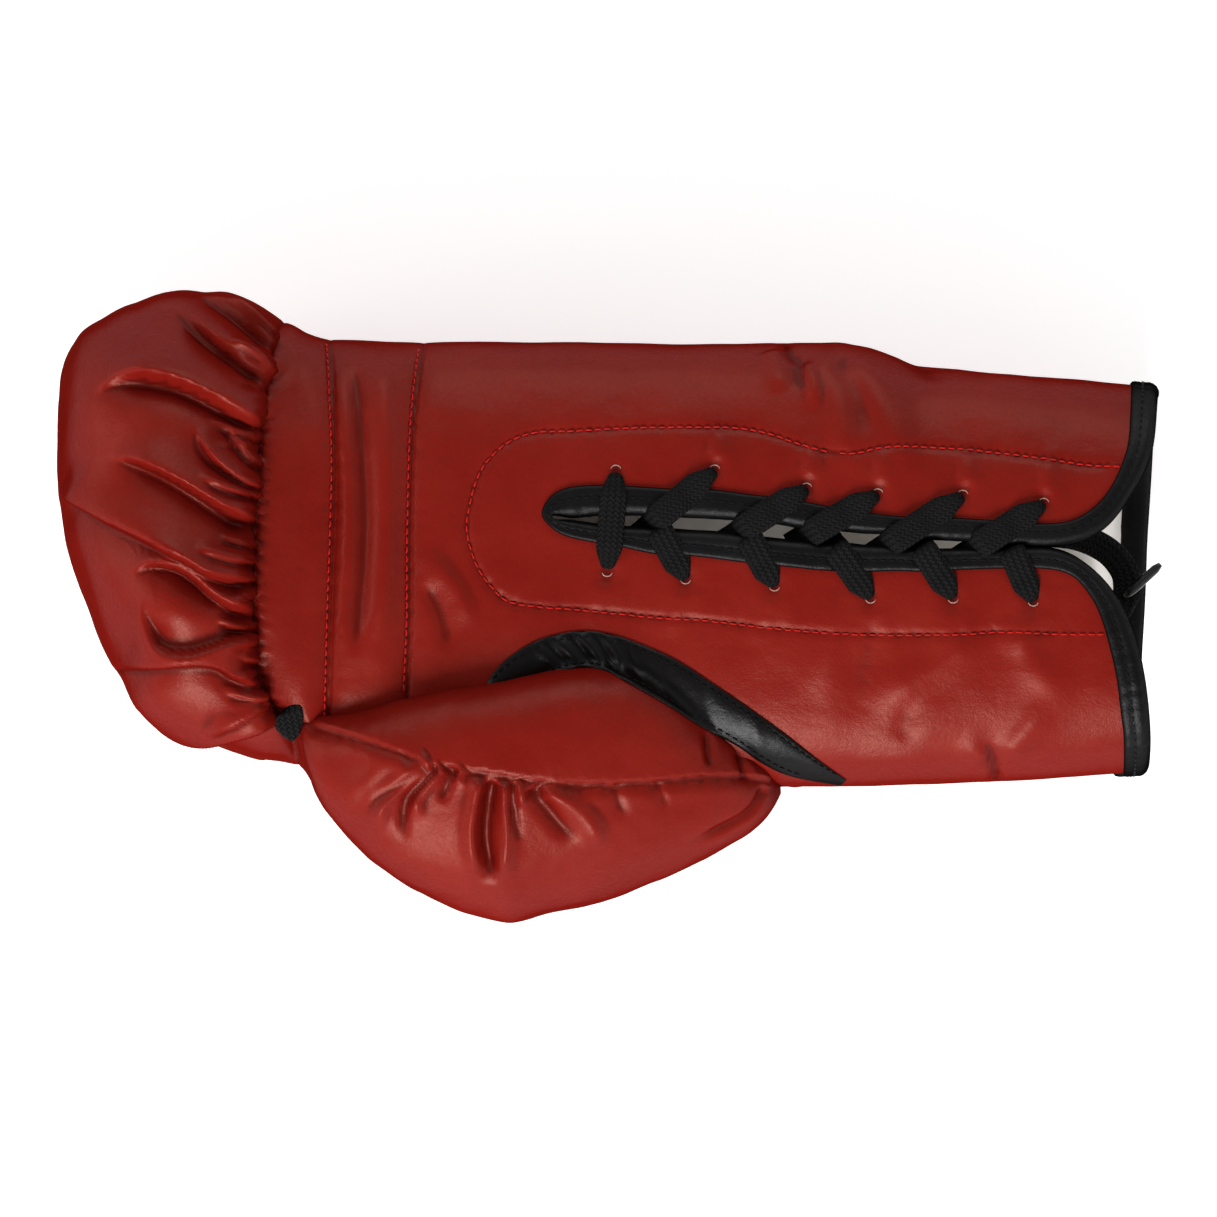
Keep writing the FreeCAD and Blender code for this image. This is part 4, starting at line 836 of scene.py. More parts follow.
# painted light: the lining glows as strongly as its glow attribute says
lb_.inputs["Emission Color"].default_value = (1.0, 0.97, 0.93, 1)
lg_ = N(LINING.node_tree, "ShaderNodeAttribute", attribute_name="glow")
LINING.node_tree.links.new(lg_.outputs["Fac"], lb_.inputs["Emission Strength"])
THREAD, t_, p_ = nodes_of("red_thread")
co_ = mm_coords(t_)
tw = N(t_, "ShaderNodeTexNoise", Scale=2.2, Detail=2.0)
t_.links.new(co_, tw.inputs["Vector"])
t_.links.new(mixc(t_, tw.outputs[0], (0.34, 0.007, 0.006, 1), (0.52, 0.014, 0.011, 1)), p_.inputs["Base Color"])
p_.inputs["Roughness"].default_value = 0.65
p_.inputs["Specular IOR Level"].default_value = 0.1
bt = N(t_, "ShaderNodeBump", Strength=0.5, Distance=0.0002)
t_.links.new(tw.outputs[0], bt.inputs["Height"])
t_.links.new(bt.outputs[0], p_.inputs["Normal"])
DARKTHREAD, t_, p_ = nodes_of("black_thread")
co_ = mm_coords(t_)
tw = N(t_, "ShaderNodeTexNoise", Scale=2.2, Detail=2.0)
t_.links.new(co_, tw.inputs["Vector"])
t_.links.new(mixc(t_, tw.outputs[0], (0.0015, 0.0015, 0.0015, 1), (0.0065, 0.006, 0.0065, 1)), p_.inputs["Base Color"])
p_.inputs["Roughness"].default_value = 0.65
p_.inputs["Specular IOR Level"].default_value = 0.1
AGLET, t_, p_ = nodes_of("aglet_plastic")
co_ = mm_coords(t_)
tw = N(t_, "ShaderNodeTexNoise", Scale=0.6, Detail=3.0)
t_.links.new(co_, tw.inputs["Vector"])
t_.links.new(mixc(t_, tw.outputs[0], lin(14, 14, 15), lin(30, 30, 32)), p_.inputs["Base Color"])
p_.inputs["Roughness"].default_value = 0.22
bt = N(t_, "ShaderNodeBump", Strength=0.3, Distance=0.0003)
t_.links.new(tw.outputs[0], bt.inputs["Height"])
t_.links.new(bt.outputs[0], p_.inputs["Normal"])

# ------------------------------------------------------------- body leather pieces
nx = len(X0)
flat_top, flat_bot = top.reshape(-1, 3), bot.reshape(-1, 3)
nt, nb = N_top.reshape(-1, 3), N_bot.reshape(-1, 3)
ct, cb = cav_top.ravel(), cav_bot.ravel()
mid_top = (top[:-1, :-1] + top[1:, 1:]) / 2
mid_bot = (bot[:-1, :-1] + bot[1:, 1:]) / 2
E_UF, E_LF = spline(E_U, n=60), spline(E_L, n=60)
B_UF, B_LF = spline(B_U, n=60), spline(B_L, n=60)
CUT_U, CUT_L = E_UF * 0.45 + B_UF * 0.55, E_LF * 0.45 + B_LF * 0.55
cut_poly = np.vstack([[(200, 90)], [(160.6, 90)], [(160.2, 64)], CUT_U[::-1], [(-17.2, 28.2)], CUT_L, [(157.6, -42)], [(157.8, -90)], [(200, -90)]])
slot_mask = inside(cut_poly, mid_top[..., 0], mid_top[..., 1])
MOUTH_B = [(156.5, -70), (159.3, -49), (160.7, -25), (162.5, 1.4), (163.1, 19), (164.3, 44), (164.6, 58), (164.4, 67), (164, 90)]
mouth_x = lambda y: pchip([p[1] for p in MOUTH_B], [p[0] for p in MOUTH_B], y)
bot_mask = mid_bot[..., 0] > mouth_x(mid_bot[..., 1]) - 3.5


def body_piece(name, ia, ib, ja=0, jb=NV - 1, which="top", material=RED, drop=None):
    P, Nn, cv, nv, mask = (flat_top, nt, ct, NV, slot_mask) if which == "top" else (flat_bot, nb, cb, NB, bot_mask)
    keep = ~mask
    i, j = np.meshgrid(np.arange(nx - 1), np.arange(nv - 1), indexing="ij")
    keep = keep & (i >= ia) & (i < ib) & (j >= ja) & (j < jb)
    if drop is not None:
        keep &= ~drop
    f = grid_faces(nx, nv, keep, flip=(which != "top"))
    v, f, n, c = compact(P, f, Nn, cv)
    return v, f, n, c


def build(name, parts, material=RED):
    vs, fs, ns, cs, base = [], [], [], [], 0
    for v, f, n, c in parts:
        vs.append(v)
        fs.append(f + base)
        ns.append(n)
        cs.append(c)
        base += len(v)
    return make(name, np.vstack(vs), np.vstack(fs), material, np.vstack(ns), {"cav": np.concatenate(cs)})


j_split = int(NV * 0.62)
finger_shell = build("finger_shell", [body_piece("a", 1, i_seam), body_piece("b", 1, i_seam, 0, NB - 1, "bot")])
# close the very tip
bm = bmesh.new()
bm.from_mesh(finger_shell.data)
bmesh.ops.remove_doubles(bm, verts=bm.verts, dist=2e-5)
bmesh.ops.holes_fill(bm, edges=[e for e in bm.edges if e.is_boundary and all(v.co.x < -0.163 for v in e.verts)], sides=0)
bm.to_mesh(finger_shell.data)
bm.free()
finger_shell.data.polygons.foreach_set("use_smooth", [True] * len(finger_shell.data.polygons))
roll_front = build("palm_roll_front", [body_piece("a", i_seam, i_roll)])
roll_rear = build("palm_roll_rear", [body_piece("a", i_roll, i_palm)])
palm_panel = build("palm_panel", [body_piece("a", i_palm, i_wrist)])
back_front = build("back_panel_front", [body_piece("a", i_seam, i_mid, 0, NB - 1, "bot")])
back_rear = build("back_panel_rear", [body_piece("a", i_mid, i_wrist, 0, NB - 1, "bot")])
cuff_back = build("cuff_back", [body_piece("a", i_wrist, nx - 1, 0, NB - 1, "bot")])
top_y = mid_top[..., 1]
ulnar_flap = build("ulnar_flap_panel", [body_piece("a", i_wrist, nx - 1, drop=top_y < 20.0)])
radial_flap = build("radial_flap_panel", [body_piece("a", i_wrist, nx - 1, drop=top_y >= 20.0)])

# ---------------------------------------------------------- surfaces to drape on
body_tree = BVHTree.FromPolygons([Vector(p) for p in flat_top], [tuple(map(int, f)) for f in grid_faces(nx, NV)])


def drop(x, y, tree=body_tree, z0=120.0):
    loc, nor, _, _ = tree.ray_cast(Vector((float(x), float(y), z0)), Vector((0, 0, -1)))
    if loc is None:
        return None, None
    nor = np.array(nor)
    return np.array(loc), nor if nor[2] > 0 else -nor


def drape(pts, lift=0.0, tree=body_tree, ease=0):
    P, Nn = [], []
    for x, y in pts:
        l, n = drop(x, y, tree)
        if l is None:
            continue
        P.append(l)
        Nn.append(n)
    P, Nn = np.array(P), np.array(Nn)
    for _ in range(ease):
        Nn[1:-1] = Nn[:-2] + Nn[1:-1] * 2 + Nn[2:]
        Nn /= np.linalg.norm(Nn, axis=1, keepdims=True)
        P[1:-1] = (P[:-2] + 2 * P[1:-1] + P[2:]) / 4
    return P + Nn * lift, Nn


# ------------------------------------------------------------------------ thumb
T_UP = q([(299, 717), (303, 717), (312, 717.5), (325, 716), (350, 712), (400, 700), (450, 690), (500, 680), (540, 671), (580, 666), (620, 667), (660, 682), (700, 707), (740, 735), (768, 760), (782, 786)])
T_LO = q([(299, 720), (303, 736), (308, 764), (318, 795), (345, 833), (375, 863), (420, 894), (470, 914), (510, 923), (545, 915), (600, 903), (650, 885), (700, 862), (735, 842), (760, 824), (775, 806), (782, 794)])
T_Z = [(-93, 26.5, 0.6), (-91, 25.0, 8.0), (-87, 23.5, 13.0), (-79, 21.5, 18.0), (-66, 19.5, 22.0), (-52, 18.0, 24.5), (-36, 17.5, 26.0), (-20, 17.0, 26.5),
       (-4, 16.0, 25.5), (12, 14.5, 23.5), (27, 12.0, 19.5), (40, 9.5, 14.0), (48, 8.0, 8.0), (52.0, 7.0, 0.6)]


def thumb_stations():
    u = np.linspace(0, 1, 3000)
    x0, x1 = T_UP[0][0], T_UP[-1][0]
    x = x0 + (x1 - x0) * (0.5 - 0.5 * np.cos(math.pi * u))
    w = pchip([p[0] for p in T_UP], [p[1] for p in T_UP], x) - pchip([p[0] for p in T_LO], [p[1] for p in T_LO], x)
    s = np.concatenate([[0], np.cumsum(np.hypot(np.diff(x), np.diff(w / 2)))])
    n = int(s[-1] / 0.9)
    return np.interp(np.linspace(0, s[-1], n), s, x)


TX = thumb_stations()
t_yu = pchip([p[0] for p in T_UP], [p[1] for p in T_UP], TX)
t_yl = pchip([p[0] for p in T_LO], [p[1] for p in T_LO], TX)
t_zc = pchip([p[0] for p in T_Z], [p[1] for p in T_Z], TX)
t_b = pchip([p[0] for p in T_Z], [p[2] for p in T_Z], TX)
t_b = np.minimum(t_b, 0.3 + 0.80 * np.maximum(t_yu - t_yl, 0.4) / 2 + 2.0)
NT = 190
th = np.linspace(0, 2 * math.pi, NT, endpoint=False)
thumb = np.empty((len(TX), NT, 3))
for i, x in enumerate(TX):
    tt = np.linspace(0, 2 * math.pi, 721)
    c, s = np.cos(tt), np.sin(tt)
    n = 2.25
    yc, a, b = (t_yu[i] + t_yl[i]) / 2, max((t_yu[i] - t_yl[i]) / 2, 0.3), max(t_b[i], 0.3)
    Y = a * np.sign(c) * np.abs(c) ** (2 / n)
    Z = b * np.sign(s) * np.abs(s) ** (2 / n) + 0.28 * Y * smooth((x + 95) / 20) * smooth((52 - x) / 40)
    L = np.concatenate([[0], np.cumsum(np.hypot(np.diff(Y), np.diff(Z)))])
    u = np.linspace(0, L[-1], NT, endpoint=False)
    thumb[i, :, 0] = x
    thumb[i, :, 1] = yc + np.interp(u, L, Y)
    thumb[i, :, 2] = t_zc[i] + np.interp(u, L, Z)


def tube_normals(P):
    du = np.gradient(P, axis=0)
    dv = (np.roll(P, -1, axis=1) - np.roll(P, 1, axis=1)) / 2
    n = np.cross(du, dv)
    n /= np.maximum(np.linalg.norm(n, axis=-1, keepdims=True), 1e-9)
    c = P.mean(axis=1, keepdims=True)
    if np.mean(np.einsum("ijk,ijk->ij", n, P - c)) < 0:
        n = -n
    return n


T_SEAM = q([(300, 716), (308, 718), (345, 728), (400, 745), (430, 757), (460, 763), (500, 769), (540, 775), (590, 778), (640, 777), (700, 772), (745, 772), (775, 778), (790, 786)])
T_STROKES = [
    # the flat inner panel ends in a lip over the gathered outer panel
    Fold(T_SEAM[1:-1], 0.85, 6.0, 1.0, 3.0, 1.3, (0.03, 0.03), plain=True),
    Stroke([(x, y - 5.0) for x, y in T_SEAM[1:-1]], 0.7, 3.4, 3.0, (0.2, 0.1), plain=True),
    # gathers that hang from the seam
    Stroke([(436, 759), (412, 776), (390, 796), (383, 812), (384, 834)], 1.9, 2.2, 3.2, (0.05, 0.3)),
    Stroke([(430, 764), (404, 782), (378, 800), (372, 820)], -1.4, 1.5, 1.5, (0.05, 0.4)),
    Stroke([(447, 764), (430, 782), (419, 799), (424, 822)], 1.6, 1.7, 2.2, (0.05, 0.35)),
    Stroke([(441, 764), (422, 784), (409, 800), (405, 822), (408, 842)], -1.7, 1.4, 1.6, (0.05, 0.35)),
    Stroke([(467, 766), (462, 773), (456, 782)], 1.2, 1.4, 1.6, (0.05, 0.4)),
    Stroke([(458, 768), (450, 782), (442, 802)], -1.3, 1.3, 1.6, (0.05, 0.4)),
    Stroke([(485, 776), (478, 800), (474, 830), (477, 855), (482, 878)], 1.7, 2.0, 2.6, (0.05, 0.3)),
    Stroke([(494, 778), (490, 806), (487, 836), (490, 862), (493, 884)], -2.9, 2.2, 2.6, (0.05, 0.25)),
    Stroke([(505, 778), (507, 806), (508, 832), (505, 862), (502, 884)], 1.6, 2.4, 2.0, (0.05, 0.3)),
    Stroke([(523, 779), (522, 792), (527, 808)], 1.2, 1.5, 1.7, (0.05, 0.4)),
    Stroke([(516, 779), (514, 796), (516, 820), (520, 842)], -1.3, 1.3, 1.5, (0.05, 0.4)),
    Stroke([(544, 784), (566, 798), (588, 816), (597, 836), (600, 852)], 1.7, 2.8, 3.6, (0.1, 0.3)),
    Stroke([(534, 784), (545, 802), (560, 822), (578, 842)], -1.7, 2.2, 2.8, (0.05, 0.4)),
    Stroke([(612, 783), (618, 800), (626, 820)], -0.8, 1.8, 2.2, (0.05, 0.6)),
    Stroke([(655, 780), (662, 796), (668, 815)], -0.7, 1.8, 2.2, (0.05, 0.6)),
    Stroke([(412, 757), (384, 768), (354, 790), (342, 812)], 0.7, 3.4, 4.2, (0.1, 0.4)),
    # root wrinkles
    Stroke([(706, 726), (708, 740), (710, 768)], -1.2, 1.3, 1.6, (0.3, 0.3)),
    Stroke([(737, 745), (741, 760), (747, 782)], -1.2, 1.3, 1.6, (0.3, 0.3)),
    Stroke([(768, 784), (749, 813), (713, 834), (686, 847)], -1.3, 1.2, 1.6, (0.1, 0.4)),
]
for k in range(26):
    x = -80 + k * 4.9 + rng.uniform(-1, 1)
    y = float(pchip([p[0] for p in T_SEAM], [p[1] for p in T_SEAM], x))
    T_STROKES.append(Stroke([(x, y - 0.4), (x - rng.uniform(0, 2), y - rng.uniform(4, 8))], -rng.uniform(0.12, 0.32), 0.9, 1.0, (0.0, 0.8), plain=True))
    T_STROKES.append(Stroke([(x + 2, y + 0.4), (x + 2 + rng.uniform(-1, 1), y + rng.uniform(2.5, 5))], -rng.uniform(0.06, 0.2), 0.9, 1.0, (0.0, 0.8), plain=True))

N_th = tube_normals(thumb)
upf = smooth((N_th[..., 2] - 0.02) / 0.3)
d = np.zeros(thumb.shape[:2])
for s in T_STROKES:
    d += s.field(thumb[..., 0], thumb[..., 1])
thumb = thumb + N_th * (d * upf)[..., None]
N_th = tube_normals(thumb)
n_ = fbm(thumb, 24.0, 2, 5.7) + 0.4 * fbm(thumb, 9.0, 2, 1.2)
thumb = thumb + N_th * (0.5 * n_)[..., None]
N_th = tube_normals(thumb)


def tube_hollow(P, Nn):
    out = np.zeros(P.shape[:2])
    for r in (1, 2, 4):
        a = np.pad(P, ((r, r), (0, 0), (0, 0)), mode="edge")
        lap = (a[2 * r :] + a[: -2 * r] + np.roll(P, r, axis=1) + np.roll(P, -r, axis=1)) / 4 - P
        out += np.einsum("ijk,ijk->ij", lap, Nn) / (0.05 * r * r)
    return np.clip(out / 3, -1, 1)


c_th = tube_hollow(thumb, N_th)
nxt = len(TX)
f_all = grid_faces(nxt, NT, closed=True, flip=False).reshape(nxt - 1, NT, 4)
mid_t = (thumb[:-1] + np.roll(thumb, -1, axis=1)[1:]) / 2
mid_n = N_th[:-1]
seam_y = pchip([p[0] for p in T_SEAM], [p[1] for p in T_SEAM], mid_t[..., 0])
mid_z = pchip([p[0] for p in T_Z], [p[1] for p in T_Z], mid_t[..., 0])
inner = np.where(mid_n[..., 2] > 0, mid_t[..., 1] > seam_y, mid_t[..., 1] > (seam_y - 12.0))
for nm, msk in (("thumb_inner_panel", inner), ("thumb_outer_panel", ~inner)):
    f = f_all[msk]
    v, f, n, c = compact(thumb.reshape(-1, 3), f, N_th.reshape(-1, 3), c_th.ravel())
    make(nm, v, f, RED, n, {"cav": c})
thumb_tree = BVHTree.FromPolygons([Vector(p) for p in thumb.reshape(-1, 3)], [tuple(map(int, f)) for f in f_all.reshape(-1, 4)])

# ------------------------------------------------------------------- stitching
def stitch_run(P, Nn, pitch, length, r=0.25, sink=0.12, rise=0.38):
    """Separate thread stitches along a draped line."""
    seg = np.linalg.norm(np.diff(P, axis=0), axis=1)
    s = np.concatenate([[0], np.cumsum(seg)])
    vs, fs = [], []
    c = pitch * 0.5
    base = 0
    while c < s[-1] - pitch * 0.3:
        L = length * rng.uniform(0.92, 1.06)
        cen = np.array([np.interp(c, s, P[:, k]) for k in range(3)])
        n = np.array([np.interp(c, s, Nn[:, k]) for k in range(3)])
        n /= np.linalg.norm(n)
        a = np.array([np.interp(c - L / 2, s, P[:, k]) for k in range(3)])
        b = np.array([np.interp(c + L / 2, s, P[:, k]) for k in range(3)])
        t = b - a
        t /= np.linalg.norm(t) + 1e-9
        side = np.cross(n, t)
        side /= np.linalg.norm(side) + 1e-9
        t = t + side * rng.uniform(-0.08, 0.08)
        for u in (-1.0, -0.72, -0.25, 0.25, 0.72, 1.0):
            h = rise * (1 - abs(u) ** 3) - sink
            rr = r * (0.55 if abs(u) == 1.0 else 1.0)
            p0 = cen + t * u * L / 2 + n * h
            for k in range(7):
                an = 2 * math.pi * k / 7
                vs.append(p0 + side * rr * math.cos(an) + n * rr * math.sin(an))
        for i in range(5):
            for k in range(7):
                k2 = (k + 1) % 7
                fs.append((base + i * 7 + k, base + i * 7 + k2, base + (i + 1) * 7 + k2, base + (i + 1) * 7 + k))
        fs.append(tuple(base + k for k in range(6, -1, -1)))
        fs.append(tuple(base + 35 + k for k in range(7)))
        base += 42
        c += pitch * rng.uniform(0.97, 1.03)
    return vs, fs


def stitches(name, runs, material=THREAD, pitch=2.75, length=2.1, **kw):
    vs, fs = [], []
    for P, Nn in runs:
        v, f = stitch_run(P, Nn, pitch, length, **kw)
        fs += [tuple(k + len(vs) for k in g) for g in f]
        vs += v
    v = (np.array(vs) + SHIFT) / 1000.0
    me = bpy.data.meshes.new(name)
    me.from_pydata(v.tolist(), [], fs)
    me.update()
    me.polygons.foreach_set("use_smooth", [True] * len(me.polygons))
    o = bpy.data.objects.new(name, me)
    bpy.context.scene.collection.objects.link(o)
    o.data.materials.append(material)
    ALL[name] = o
    return o


face_line = spline(FACE_U, step=0.8)
hand_face = face_line[face_line[:, 0] <= WRIST]
u_face = face_line[(face_line[:, 0] > WRIST) & (face_line[:, 1] > 20)]
l_face = face_line[(face_line[:, 0] > WRIST) & (face_line[:, 1] < 20)]
stitches("facing_stitches_palm", [drape(hand_face, 0.1, ease=2)])
stitches("facing_stitches_ulnar", [drape(u_face, 0.1, ease=2)])
stitches("facing_stitches_radial", [drape(l_face, 0.1, ease=2)])
roll_pts = [(float(line_at(ROLL_LINE, np.array(y))), y) for y in np.arange(-33, 79.4, 0.8)]
palm_pts = [(float(line_at(PALM_LINE, np.array(y))), y) for y in np.arange(-25, 78.6, 0.8)]
seam_pts = [(float(line_at(SEAM_LINE, np.array(y))) + 0.9, y) for y in np.arange(-31, 74, 0.8)]
stitches("roll_stitches_front", [drape([(x - 1.3, y) for x, y in roll_pts], 0.15, ease=2)])
stitches("roll_stitches_rear", [drape([(x - 1.2, y) for x, y in palm_pts], 0.15, ease=2)])

# ----------------------------------------------------------------------- binding
row_y = top[..., 1]


def tube_point(x, v, which="top"):
    """Point and normal on the glove's outer surface at station x and share v round the half."""
    P, Nn, nv = (top, N_top, NV) if which == "top" else (bot, N_bot, NB)
    i = np.clip(np.searchsorted(X0, x) - 1, 0, nx - 2)
    a = (x - X0[i]) / (X0[i + 1] - X0[i])
    j = min(int(v * (nv - 1)), nv - 2)
    b = v * (nv - 1) - j
    p = (P[i, j] * (1 - a) + P[i + 1, j] * a) * (1 - b) + (P[i, j + 1] * (1 - a) + P[i + 1, j + 1] * a) * b
    n = (Nn[i, j] * (1 - a) + Nn[i + 1, j] * a) * (1 - b) + (Nn[i, j + 1] * (1 - a) + Nn[i + 1, j + 1] * a) * b
    return p, n / np.linalg.norm(n)


def to_v(x, y):
    i = int(np.clip(np.searchsorted(X0, x) - 1, 0, nx - 2))
    return float(np.interp(-y, -row_y[i], V_TOP))


B_PATH = [(157.0, 0.0), (156.9, 0.05)] + [(x, to_v(x, y)) for x, y in reversed(B_U)]
B_PATH += [(-19.9, to_v(-19.9, 27.6))]
B_PATH += [(x, to_v(x, y)) for x, y in B_L] + [(153.6, to_v(153.6, -39.0)), (154.6, 0.95), (154.8, 1.0)]
E_PATH = [(164.5, 0.0), (163.9, 0.045)] + [(x, to_v(x, y)) for x, y in reversed(E_U)]
E_PATH += [(-16.2, to_v(-16.2, 27.2))]
E_PATH += [(x, to_v(x, y)) for x, y in E_L] + [(160.6, to_v(160.6, -40.0)), (161.2, 0.97), (161.3, 1.0)]
SC = np.array([1.0, 160.0])
b_xy = spline(np.array(B_PATH) * SC, step=0.8)
e_fine = spline(np.array(E_PATH) * SC, step=0.25)
e_xy, last = [], 0
for k, p in enumerate(b_xy):
    f = k / (len(b_xy) - 1)
    lo_i, hi_i = last, min(len(e_fine), last + 60)
    dd = np.hypot(e_fine[lo_i:hi_i, 0] - p[0], e_fine[lo_i:hi_i, 1] - p[1])
    last = lo_i + int(np.argmin(dd))
    e_xy.append(e_fine[last])
e_xy = np.array(e_xy)
e_xy[0], e_xy[-1] = e_fine[0], e_fine[-1]
for _ in range(4):
    e_xy[1:-1] = (e_xy[:-2] + 2 * e_xy[1:-1] + e_xy[2:]) / 4
b_vx, e_vx = b_xy / SC, e_xy / SC
PROFILE = [(1.00, -0.35), (0.985, 0.45), (0.93, 1.0), (0.82, 1.25), (0.62, 1.22), (0.50, 1.05), (0.38, 1.25), (0.22, 1.4), (0.06, 1.1), (-0.10, 0.35), (-0.20, -0.9), (-0.22, -2.2),
           (-0.17, -3.5), (-0.02, -4.5), (0.22, -4.9), (0.55, -5.0), (0.85, -4.9), (1.0, -4.4)]


def bind_rings(path, which, widths, centre):
    """Rings of a folded binding that follows an edge; centre tells which side is the opening."""
    P = np.array([tube_point(x, float(np.clip(v, 0, 1)), which)[0] for x, v in path])
    Nn = np.array([tube_point(x, float(np.clip(v, 0, 1)), which)[1] for x, v in path])
    for _ in range(4):
        Nn[1:-1] = Nn[:-2] + 2 * Nn[1:-1] + Nn[2:]
        Nn /= np.linalg.norm(Nn, axis=1, keepdims=True)
        P[1:-1] = (P[:-2] + 2 * P[1:-1] + P[2:]) / 4
    T = np.gradient(P, axis=0)
    T /= np.linalg.norm(T, axis=1, keepdims=True)
    A = np.cross(Nn, T)
    A /= np.linalg.norm(A, axis=1, keepdims=True)
    if np.mean(np.einsum("ij,ij->i", A, P - centre)) < 0:
        A = -A
    # A now points away from the opening, into the leather
    rings = np.empty((len(P), len(PROFILE), 3))
    for k, (a, b) in enumerate(PROFILE):
        rings[:, k] = P + A * (a * widths)[:, None] + Nn * b
    return rings, P, Nn, A


def ring_mesh(name, rings, material, closed=True, uvs=None):
    nu, nr = rings.shape[:2]
    nn = np.cross(np.gradient(rings, axis=0), np.roll(rings, -1, axis=1) - np.roll(rings, 1, axis=1))
    f = grid_faces(nu, nr, closed=closed)
    v = rings.reshape(-1, 3)
    # face direction: outwards from the ring's own centre
    c = rings.mean(axis=1, keepdims=True)
    a = rings[:-1, 0] - rings[:-1].mean(axis=1)
    fn = np.cross(v[f[:, 1]] - v[f[:, 0]], v[f[:, 3]] - v[f[:, 0]])
    fc = v[f].mean(axis=1)
    ringc = np.repeat(c[:-1, 0], nr if closed else nr - 1, axis=0)
    if np.mean(np.einsum("ij,ij->i", fn, fc - ringc)) < 0:
        f = f[:, ::-1]
    faces = [tuple(g) for g in f]
    if closed:
        faces.append(tuple(range(nr)))
        faces.append(tuple(range((nu - 1) * nr + nr - 1, (nu - 1) * nr - 1, -1)))
    cav = np.zeros(len(v))
    return make(name, v, faces, material, None, {"cav": cav}, uvs)


eP = np.array([tube_point(x, float(np.clip(v, 0, 1)))[0] for x, v in e_vx])
eN = np.array([tube_point(x, float(np.clip(v, 0, 1)))[1] for x, v in e_vx])
cP = np.array([tube_point(x, float(np.clip(v, 0, 1)))[0] for x, v in b_vx])
cN = np.array([tube_point(x, float(np.clip(v, 0, 1)))[1] for x, v in b_vx])
bN = eN + cN
for _ in range(4):
    bN[1:-1] = bN[:-2] + 2 * bN[1:-1] + bN[2:]
    bN /= np.linalg.norm(bN, axis=1, keepdims=True)
    eP[1:-1] = (eP[:-2] + 2 * eP[1:-1] + eP[2:]) / 4
    cP[1:-1] = (cP[:-2] + 2 * cP[1:-1] + cP[2:]) / 4
tipness = smooth(1 - (b_vx[:, 0] + 20.0) / 9.0)
rings = np.empty((len(b_vx), len(PROFILE), 3))
for k, (a, b) in enumerate(PROFILE):
    aa = np.where(a < 0.06, 0.06 + (a - 0.06) * (1 - 0.85 * tipness), a)
    rings[:, k] = eP + (cP - eP) * aa[:, None] + bN * (b * (1 - 0.25 * tipness * (b < -2)))[:, None]
puck = np.array([noise.noise(Vector((k * 0.35, 3.1, 0))) for k in range(len(b_vx))])
rings = rings + bN[:, None, :] * (0.18 * puck)[:, None, None]
bP, bA, widths_s = eP, cP - eP, 1.0
ex = b_vx[:, 0]
u_end = int(np.argmax(ex[: len(ex) // 2] < WRIST))
l_start = len(ex) // 2 + int(np.argmax(ex[len(ex) // 2 :] > WRIST))
ring_mesh("slot_binding_palm", rings[u_end : l_start + 1], BIND)
ring_mesh("ulnar_flap_binding", rings[: u_end + 1], BIND)
ring_mesh("radial_flap_binding", rings[l_start:], BIND)
mid_line_ = bP + bA * 0.5 + bN * 1.0
stitches("binding_stitches_palm", [(mid_line_[u_end : l_start + 1], bN[u_end : l_start + 1])], DARKTHREAD, pitch=2.7, length=2.0, r=0.26)
stitches("binding_stitches_ulnar", [(mid_line_[: u_end + 1], bN[: u_end + 1])], DARKTHREAD, pitch=2.7, length=2.0, r=0.26)
stitches("binding_stitches_radial", [(mid_line_[l_start:], bN[l_start:])], DARKTHREAD, pitch=2.7, length=2.0, r=0.26)

# mouth binding round the back of the cuff
vb = np.linspace(0, 1, 220)
path_b = []
for v in vb:
    i = int(np.clip(np.searchsorted(X0, 162) - 1, 0, nx - 2))
    y = float(np.interp(v, V_BOT, bot[i, :, 1]))
    path_b.append((float(mouth_x(y)), v))
path_b[0] = (164.5, 0.0)
path_b[-1] = (161.3, 1.0)
path_b = np.array(path_b)
path_b[:, 0] = np.convolve(np.pad(path_b[:, 0], 4, mode="edge"), np.ones(9) / 9, mode="valid")
path_b[0, 0], path_b[-1, 0] = 164.5, 161.3
rb, pb_, nb_, ab_ = bind_rings(path_b, "bot", np.full(len(path_b), 6.2), np.array([100.0, 10.0, 0.0]))
for k in range(len(path_b)):
    if ab_[k, 0] > 0:
        ab_[k] = -ab_[k]
for k, (a, b) in enumerate(PROFILE):
    rb[:, k] = pb_ + ab_ * (a * 7.0) + nb_ * b
ring_mesh("cuff_binding", rb, BIND)
stitches("binding_stitches_cuff", [(pb_ + ab_ * 3.1 + nb_ * 1.0, nb_)], DARKTHREAD, pitch=2.7, length=2.0, r=0.26)

# ------------------------------------------------------------------------ lining
CX = np.concatenate([np.linspace(-143, -128, 16, endpoint=False), np.linspace(-128, 66, 98, endpoint=False), np.linspace(66, 163, 60)])
cyl, cyu, czb, czt = columns(CAV, CX)
NL = 90
V_L = np.linspace(0, 1, NL)
Yc, Zc = half_section(cyl, cyu, czt, V_L, 2.6)
lin_top = np.stack([CX[:, None] + 0 * Yc, Yc, Zc], axis=-1)
Yc2, Zc2 = half_section(cyl, cyu, -czb, V_L, 2.6)
lin_bot = np.stack([CX[:, None] + 0 * Yc2, Yc2, -Zc2], axis=-1)
